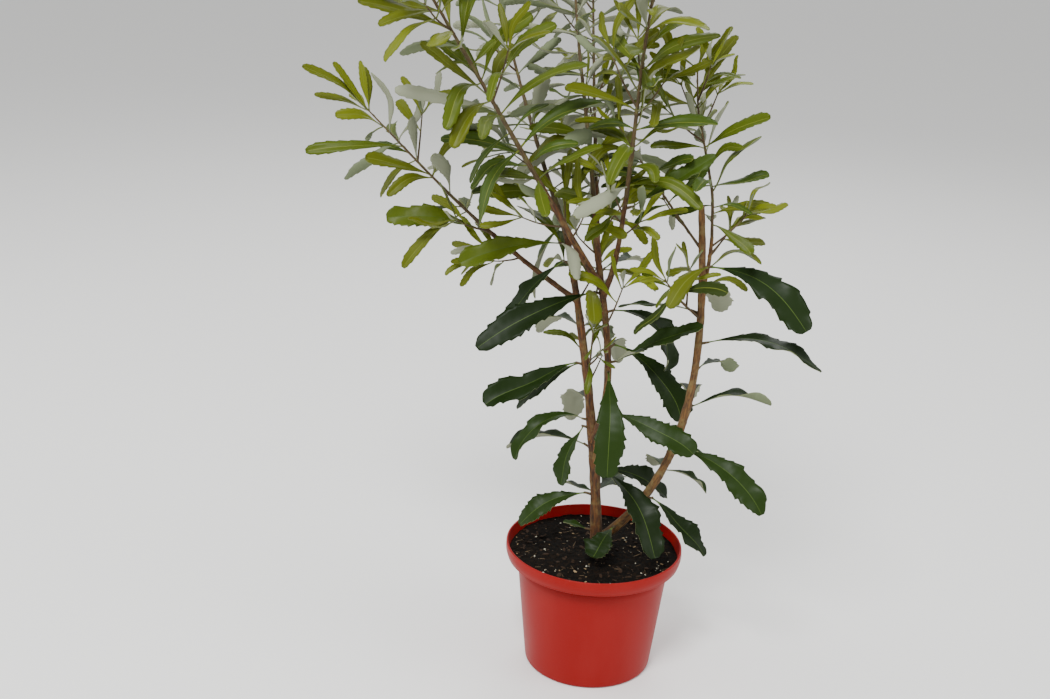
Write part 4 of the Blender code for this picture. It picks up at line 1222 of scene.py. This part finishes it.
# ---------------------------------------------------------------- crown leaves
# Narrower leaves with few or no teeth, in whorls up each stem and twig and ended by a tuft. They are softer
# than the old ones: dull green on last year's wood, olive to yellow green where they are young.
LEAF_WIDTH_SHARE = 0.23
ROOT_OFFSET = 0.0004
ANGLE_OFF_STEM = (76, 46)
LEAF_DROOP = (46, 22)
ANGLE_SPREAD = (-12, 12)
DROOP_SPREAD = (0.5, 1.4)
LENGTH_SPREAD = (0.80, 1.15)
WIDTH_SPREAD = (0.85, 1.15)
LIGHT = Vector((-0.15, -0.66, 0.74))  # where the blades turn their faces
MOST_TWIST = 55
TWIST_SPREAD = 26
SIZE_AT_TIP = 0.80
TUFT_LEAVES = 4
TUFT_ANGLE = 30
TUFT_ANGLE_SPREAD = (-8, 14)
TUFT_DROOP = (-2, 30)
TUFT_LENGTH_SPREAD = (0.75, 1.05)
TUFT_WIDTH_SHARE = 0.85
TUFT_AT = 0.97
TUFT_AGE = 1.1
TWIG_WHORL_AT = 0.55
TWIG_WHORL_AGE = 0.6
TWIG_LEAVES = 2
TWIG_LEAF_SHARE = 0.8
ASIDE_IN_WHORL = (-0.5, 0.5)  # radians
PITCH_IN_WHORL = 0.0011  # metres up the stem from one leaf's root to the next
PITCH_IN_TUFT = 0.0010
TONES_BY_AGE = ("leaf_dull", "leaf_green", "leaf_fresh", "leaf_olive", "leaf_yellow", "leaf_young")
FIRST_STEP, STEPS_BY_AGE, STEP_SPREAD = 1.2, 2.2, (-0.7, 2.0)  # how far along the tones a whorl's is
SMALL_STATIONS = ((0.00, None), (0.18, 0.16), (0.70, 1.00), (1.00, 0.48))
TUFT_STATIONS = ((0.00, None), (0.66, 1.00), (1.00, 0.42))

Outer = namedtuple("Outer", "crown place leaf")
OUTER_LEAVES = (
    Outer("foliage_far_left", 0.98, Blade(205, 40, 14, 0.086, 0.014, -40)),
    Outer("foliage_far_left", 0.95, Blade(112, 66, 10, 0.052, 0.014, 40)),
    Outer("foliage_far_left", 0.77, Blade(216, 78, 14, 0.073, 0.016, 20)),
    Outer("foliage_far_left", 0.66, Blade(207, 10, 24, 0.108, 0.018, -45)),
    Outer("foliage_far_left", 0.60, Blade(156, 16, 30, 0.066, 0.018, -30)),
    Outer("foliage_far_left", 0.42, Blade(202, 26, 20, 0.076, 0.020, -45)),
    Outer("foliage_far_left", 0.15, Blade(166, -2, 30, 0.066, 0.018, -10)),
    Outer("foliage_left", 0.56, Blade(206, 26, 20, 0.098, 0.022, -45)),
    Outer("foliage_left", 0.40, Blade(153, 42, 24, 0.068, 0.018, -20)),
    Outer("foliage_left", 0.33, Blade(203, 44, 16, 0.092, 0.016, -40)),
    Outer("foliage_left", 0.28, Blade(204, 24, 24, 0.108, 0.018, -40)),
    Outer("foliage_left", 0.12, Blade(168, 22, 30, 0.090, 0.024, -30)),
    Outer("foliage_front", 0.24, Blade(-22, 60, 12, 0.120, 0.022, 30)),
    Outer("foliage_front", 0.37, Blade(203, 52, 16, 0.080, 0.020, -30)),
    Outer("foliage_front", 0.58, Blade(226, 66, 14, 0.064, 0.024, 0)),
    Outer("foliage_right", 0.80, Blade(38, 62, 16, 0.078, 0.018, 30)),
    Outer("foliage_right", 0.75, Blade(122, 56, 14, 0.052, 0.018, 30)),
    Outer("foliage_right", 0.60, Blade(214, 66, 14, 0.052, 0.014, 0)),
    Outer("foliage_right", 0.50, Blade(-32, 74, 14, 0.060, 0.015, 20)),
    Outer("foliage_right", 0.27, Blade(-22, 60, 14, 0.082, 0.018, 35)),
    Outer("foliage_right", 0.14, Blade(20, 20, 36, 0.072, 0.016, 60)),
)


def facing(way, light=LIGHT):
    """The twist, up to a limit, that turns the face of a blade along this way to the light."""
    side = Vector((0, 0, 1)).cross(way)
    up = way.cross(side)
    twist = math.degrees(math.atan2(-side.dot(light), up.dot(light)))
    return max(-MOST_TWIST, min(MOST_TWIST, twist))


def blade_along(way, droop, length, width, twist):
    """The blade that leaves its root along this way."""
    bearing = math.degrees(math.atan2(way.y, way.x))
    rise = math.degrees(math.asin(max(-1, min(1, way.z))))
    return Blade(bearing, rise, droop, length, width, twist)


def tone_of(age):
    """A tone for one whorl: dull greens on the old wood, olive and yellow greens towards the tip."""
    pick = int(FIRST_STEP + age * STEPS_BY_AGE + tone_dice.uniform(*STEP_SPREAD))
    return TONE_NUMBER[TONES_BY_AGE[max(0, min(len(TONES_BY_AGE) - 1, pick))]]


def whorl(owner, path, share, count, age, size, dice, kept):
    """Leaves round the stem at one height. Age is 0 at the oldest whorl and 1 at the tip."""
    place, direction = point_on(path, share)
    start = dice.uniform(0, 2 * math.pi)
    angle = ANGLE_OFF_STEM[0] + (ANGLE_OFF_STEM[1] - ANGLE_OFF_STEM[0]) * age
    droop = LEAF_DROOP[0] + (LEAF_DROOP[1] - LEAF_DROOP[0]) * age
    tone = tone_of(age)
    for index in range(count):
        own = random.Random(dice.random())
        for _ in range(TRIES):
            turn = start + 2 * math.pi * index / count + own.uniform(*ASIDE_IN_WHORL)
            way = off_stem(direction, angle + own.uniform(*ANGLE_SPREAD), turn)
            length = size * (1 - (1 - SIZE_AT_TIP) * age) * own.uniform(*LENGTH_SPREAD)
            width = length * LEAF_WIDTH_SHARE * own.uniform(*WIDTH_SPREAD)
            twist = facing(way) + own.uniform(-TWIST_SPREAD, TWIST_SPREAD)
            blade = blade_along(way, droop * own.uniform(*DROOP_SPREAD), length, width, twist)
            root = place + way * ROOT_OFFSET + direction * (PITCH_IN_WHORL * index)
            if add_leaf(owner, root, blade, SMALL_STATIONS, tone, kept):
                break


def tuft(owner, path, size, dice, kept):
    """The youngest leaves, held up close round the tip of a stem."""
    place, direction = point_on(path, TUFT_AT)
    tone = tone_of(TUFT_AGE)
    for index in range(TUFT_LEAVES):
        own = random.Random(dice.random())
        for _ in range(TRIES):
            turn = 2 * math.pi * (index + own.uniform(0, 0.5)) / TUFT_LEAVES
            way = off_stem(direction, TUFT_ANGLE + own.uniform(*TUFT_ANGLE_SPREAD), turn)
            length = size * SIZE_AT_TIP * own.uniform(*TUFT_LENGTH_SPREAD)
            width = length * LEAF_WIDTH_SHARE * TUFT_WIDTH_SHARE
            twist = facing(way) + own.uniform(-TWIST_SPREAD, TWIST_SPREAD)
            blade = blade_along(way, own.uniform(*TUFT_DROOP), length, width, twist)
            root = place + way * ROOT_OFFSET - direction * (PITCH_IN_TUFT * index)
            if add_leaf(owner, root, blade, TUFT_STATIONS, tone, kept):
                break


crown_leaves = {}
for crown, path, twigs, dice in growth:
    kept = crown_leaves[crown.name] = []
    for outer in OUTER_LEAVES:
        if outer.crown == crown.name:
            place, _ = point_on(path, outer.place)
            add_leaf(crown.name, place, outer.leaf, SMALL_STATIONS, tone_of(outer.place), kept)
    size = TWIG_LEAF_SHARE * crown.leaf
    for twig in twigs:
        whorl(crown.name, twig, TWIG_WHORL_AT, TWIG_LEAVES, TWIG_WHORL_AGE, size, dice, kept)
        tuft(crown.name, twig, size, dice, kept)
    bare = crown.bare / crown.length
    for index in range(crown.whorls):
        age = index / crown.whorls
        whorl(crown.name, path, bare + (TUFT_AT - bare) * age, crown.leaves, age, crown.leaf, dice, kept)
    tuft(crown.name, path, crown.leaf, dice, kept)

# Finer growth of the same rule in the space that is left: short twigs from the stems and from the boughs'
# upper halves, leaves between the whorls, and smaller leaves beside the large ones that stand high enough
# for light.
FINER_SEED = 70
FINER_TWIGS = 3
FINER_TWIGS_OVER = (0.12, 0.92)  # shares of the stem
FINER_TWIG_LENGTH = (0.026, 0.050)
FINER_ANGLE_SPREAD = (-8, 12)
FINER_WHORL_AT = 0.6
FINER_WHORL_AGE = 0.7
FINER_WHORL_SHARE = 0.75  # of the crown's leaf
FINER_TUFT_SHARE = 0.78
FINER_LEAF_SHARE = (0.65, 0.95)
BOUGH_TWIGS = 3
BOUGH_TWIGS_OVER = (0.50, 0.96)
SIDE_LEAVES_ABOVE = 0.435
SIDE_LEAVES = 3
SIDE_LEAF_SHARE = (0.50, 0.75)
SIDE_WIDTH_SHARE = 0.26
SIDE_ROOT_SHARE = 0.3  # of the spur's length back from its tip
SIDE_LEAF_AGE = 0.4
SIDE_TURN = 90  # degrees from one side leaf to the next
SIDE_ASIDE = (-35, 35)
SIDE_RISE = (0, 45)
SIDE_DROOP = (20, 60)
SIDE_TWIST = (-30, 30)


def finer_twig(crown, path, shares, own, twigs, kept):
    """One short leafy twig from a place between two shares of the path, where it finds room."""
    for _ in range(TRIES):
        place, direction = point_on(path, own.uniform(*shares))
        angle = TWIG_ANGLE + own.uniform(*FINER_ANGLE_SPREAD)
        way = off_stem(direction, angle, own.uniform(0, 2 * math.pi))
        if start_twig(crown.name, place, way, own.uniform(*FINER_TWIG_LENGTH), twigs):
            size = FINER_WHORL_SHARE * crown.leaf
            whorl(crown.name, twigs[-1], FINER_WHORL_AT, 1, FINER_WHORL_AGE, size, own, kept)
            tuft(crown.name, twigs[-1], FINER_TUFT_SHARE * crown.leaf, own, kept)
            return


for index, (crown, path, twigs, _) in enumerate(growth):
    dice = random.Random(FINER_SEED + index)
    kept = crown_leaves[crown.name]
    for _ in range(FINER_TWIGS if crown.whorls > 3 else 1):
        finer_twig(crown, path, FINER_TWIGS_OVER, random.Random(dice.random()), twigs, kept)
    for _ in range(BOUGH_TWIGS if crown.place == 1 else 0):
        bough = paths[crown.parent]
        finer_twig(crown, bough, BOUGH_TWIGS_OVER, random.Random(dice.random()), twigs, kept)
    bare = crown.bare / crown.length
    for step in range(crown.whorls):
        age = (step + 0.5) / crown.whorls
        size = crown.leaf * dice.uniform(*FINER_LEAF_SHARE)
        whorl(crown.name, path, bare + (TUFT_AT - bare) * age, 2, age, size, dice, kept)

side_leaves = []
for index, (spray, spur) in enumerate(spurs):
    dice = random.Random(FINER_SEED - 1 - index)
    first = spray.leaves[0]
    root = spur[1] - (spur[1] - spur[0]) * SIDE_ROOT_SHARE
    for turn in range(SIDE_LEAVES if spur[0].z > SIDE_LEAVES_ABOVE else 0):
        own = random.Random(dice.random())
        for _ in range(TRIES):
            bearing = first.bearing + SIDE_TURN * (turn + 1) + own.uniform(*SIDE_ASIDE)
            length = first.length * own.uniform(*SIDE_LEAF_SHARE)
            rise, droop, twist = (own.uniform(*spread) for spread in (SIDE_RISE, SIDE_DROOP, SIDE_TWIST))
            blade = Blade(bearing, rise, droop, length, SIDE_WIDTH_SHARE * length, twist)
            if add_leaf(spray.name, root, blade, SMALL_STATIONS, tone_of(SIDE_LEAF_AGE), side_leaves):
                break

SMALL_SEED = 190
CROWN_MIDDLE = 0.045
LIGHT_BEHIND = Vector((0.10, 0.44, 0.89))
SMALL_OUTLINE = (
    (0, 0.10), (0.10, 0.10), (0.20, 0.24), (0.32, 0.50), (0.44, 0.72), (0.55, 0.86), (0.66, 0.96),
    (0.78, 1.0), (0.88, 0.93), (0.94, 0.80), (0.97, 0.64), (1.0, 0.32),
)
# Each row's share of the length, and the edge's factor there.
SMALL_ROWS = (
    (0, 1), (0.08, 1), (0.16, 1), (0.24, 1), (0.32, 1), (0.40, 1), (0.48, 1), (0.54, 1.06),
    (0.56, 0.93), (0.66, 1.07), (0.68, 0.93), (0.78, 1.07), (0.80, 0.93), (0.89, 1.08), (0.91, 0.90),
    (0.96, 1.02), (1.0, 1),
)
small_shares, small_edge = np.array(SMALL_ROWS).T


def small_teeth(shares, start):
    """Four forward teeth: the half width grows to each tooth's tip and drops just past it."""
    return small_edge + 0 * start


def turned_out(leaf):
    """The leaf as shown: behind the crown's middle it turns its face up and back, to its light there."""
    if leaf.root.y < CROWN_MIDDLE:
        return leaf
    way = heading(leaf.blade.bearing, 90 - leaf.blade.rise)
    twist = leaf.blade.twist - facing(way) + facing(way, LIGHT_BEHIND)
    return leaf._replace(blade=leaf.blade._replace(twist=twist))


small_outline = np.interp(small_shares, *np.array(SMALL_OUTLINE).T)
small_form = Form(
    small_shares, small_outline, small_teeth,
    across=(-1, -0.45, -0.05, 0.05, 0.45, 1), below=(1, 0.45, 0, -0.45, -1),
    stalk=0.10, rib=YOUNG_RIB, edge=YOUNG_RIB, slimness=0.86, turned=0.07, taper=(0.0, 0.7),
    sway=(14, 9, 12), twist=34, fold=(2, 26), ripple=(0.05, 0.24), waves=(0.8, 1.9),
)
# The far left stem stands clear of the others, so its leaves keep to the light from the front.
for index, (name, leaves) in enumerate(crown_leaves.items()):
    shown = leaves if name == "foliage_far_left" else [turned_out(leaf) for leaf in leaves]
    add_leaves(name.replace("foliage", "crown_leaves"), shown, small_form, SMALL_SEED + index, [name])
spray_names = [spray.name for spray in SPRAYS]
add_leaves("side_leaves", side_leaves, small_form, SMALL_SEED - 1, spray_names)

# ---------------------------------------------------------------- shoots
# The stems and twigs of each crown mass, joined, and the spurs of the large leaves. Their bark is thin,
# brown with a little green in it and downy, and each stem swells to its bough's width at its foot.
STEM_COLUMNS = 10
STEM_ROW_SPACING = 0.003
STEM_SWELLING = 0.012  # metres up the stem over which its foot's swelling fades
SHOOT_SEED = 60
TWIG_TIP_SHARE = 0.55
SPUR_SHARES = (1.1, 0.7)
young_shoot = wood_finish("young_shoot", "#33230f", "#574420", "#5b5a2a", 0.0016, 0.75)


def join_tubes(name, tubes, nodes):
    """One piece of many tubes, each (path, radii), that stands for the nodes."""
    points, blocks, grains, shift = [], [], [], 0
    for path, radii in tubes:
        placed, faces, rings = tube(path, radii, STEM_COLUMNS)
        points.append(placed)
        grains.append(straight_grain(rings, run_along(path)))
        blocks += [block + shift for block in faces]
        shift += len(placed)
    piece = add_piece(name, np.vstack(points), blocks, [young_shoot])
    set_grain(piece, np.vstack(grains))
    take_over(piece, "bark", *nodes)


for index, (crown, path, twigs, _) in enumerate(growth):
    line, distance = eased_path(path, STEM_ROW_SPACING)
    share = distance / distance[-1]
    radii = crown.foot_radius + (STEM_TIP_SHARE * TWIG_RADIUS - crown.foot_radius) * share
    if crown.place == 1:
        limb = next(limb for limb in LIMBS if limb.name == crown.parent)
        radii = radii + (limb.tip_radius - crown.foot_radius) * np.exp(-distance / STEM_SWELLING)
    relief = bark_relief(distance, radii, STEM_COLUMNS, SHOOT_SEED + index)
    tubes = [(line, radii[:, None] + relief)]
    for twig in twigs:
        line, _ = eased_path(twig, STEM_ROW_SPACING)
        tubes.append((line, np.linspace(TWIG_RADIUS, TWIG_TIP_SHARE * TWIG_RADIUS, len(line))))
    join_tubes(crown.name.replace("foliage", "shoots"), tubes, [crown.name])
spur_radii = [share * SPUR_RADIUS for share in SPUR_SHARES]
join_tubes("leaf_spurs", [(spur, spur_radii) for _, spur in spurs], spray_names)
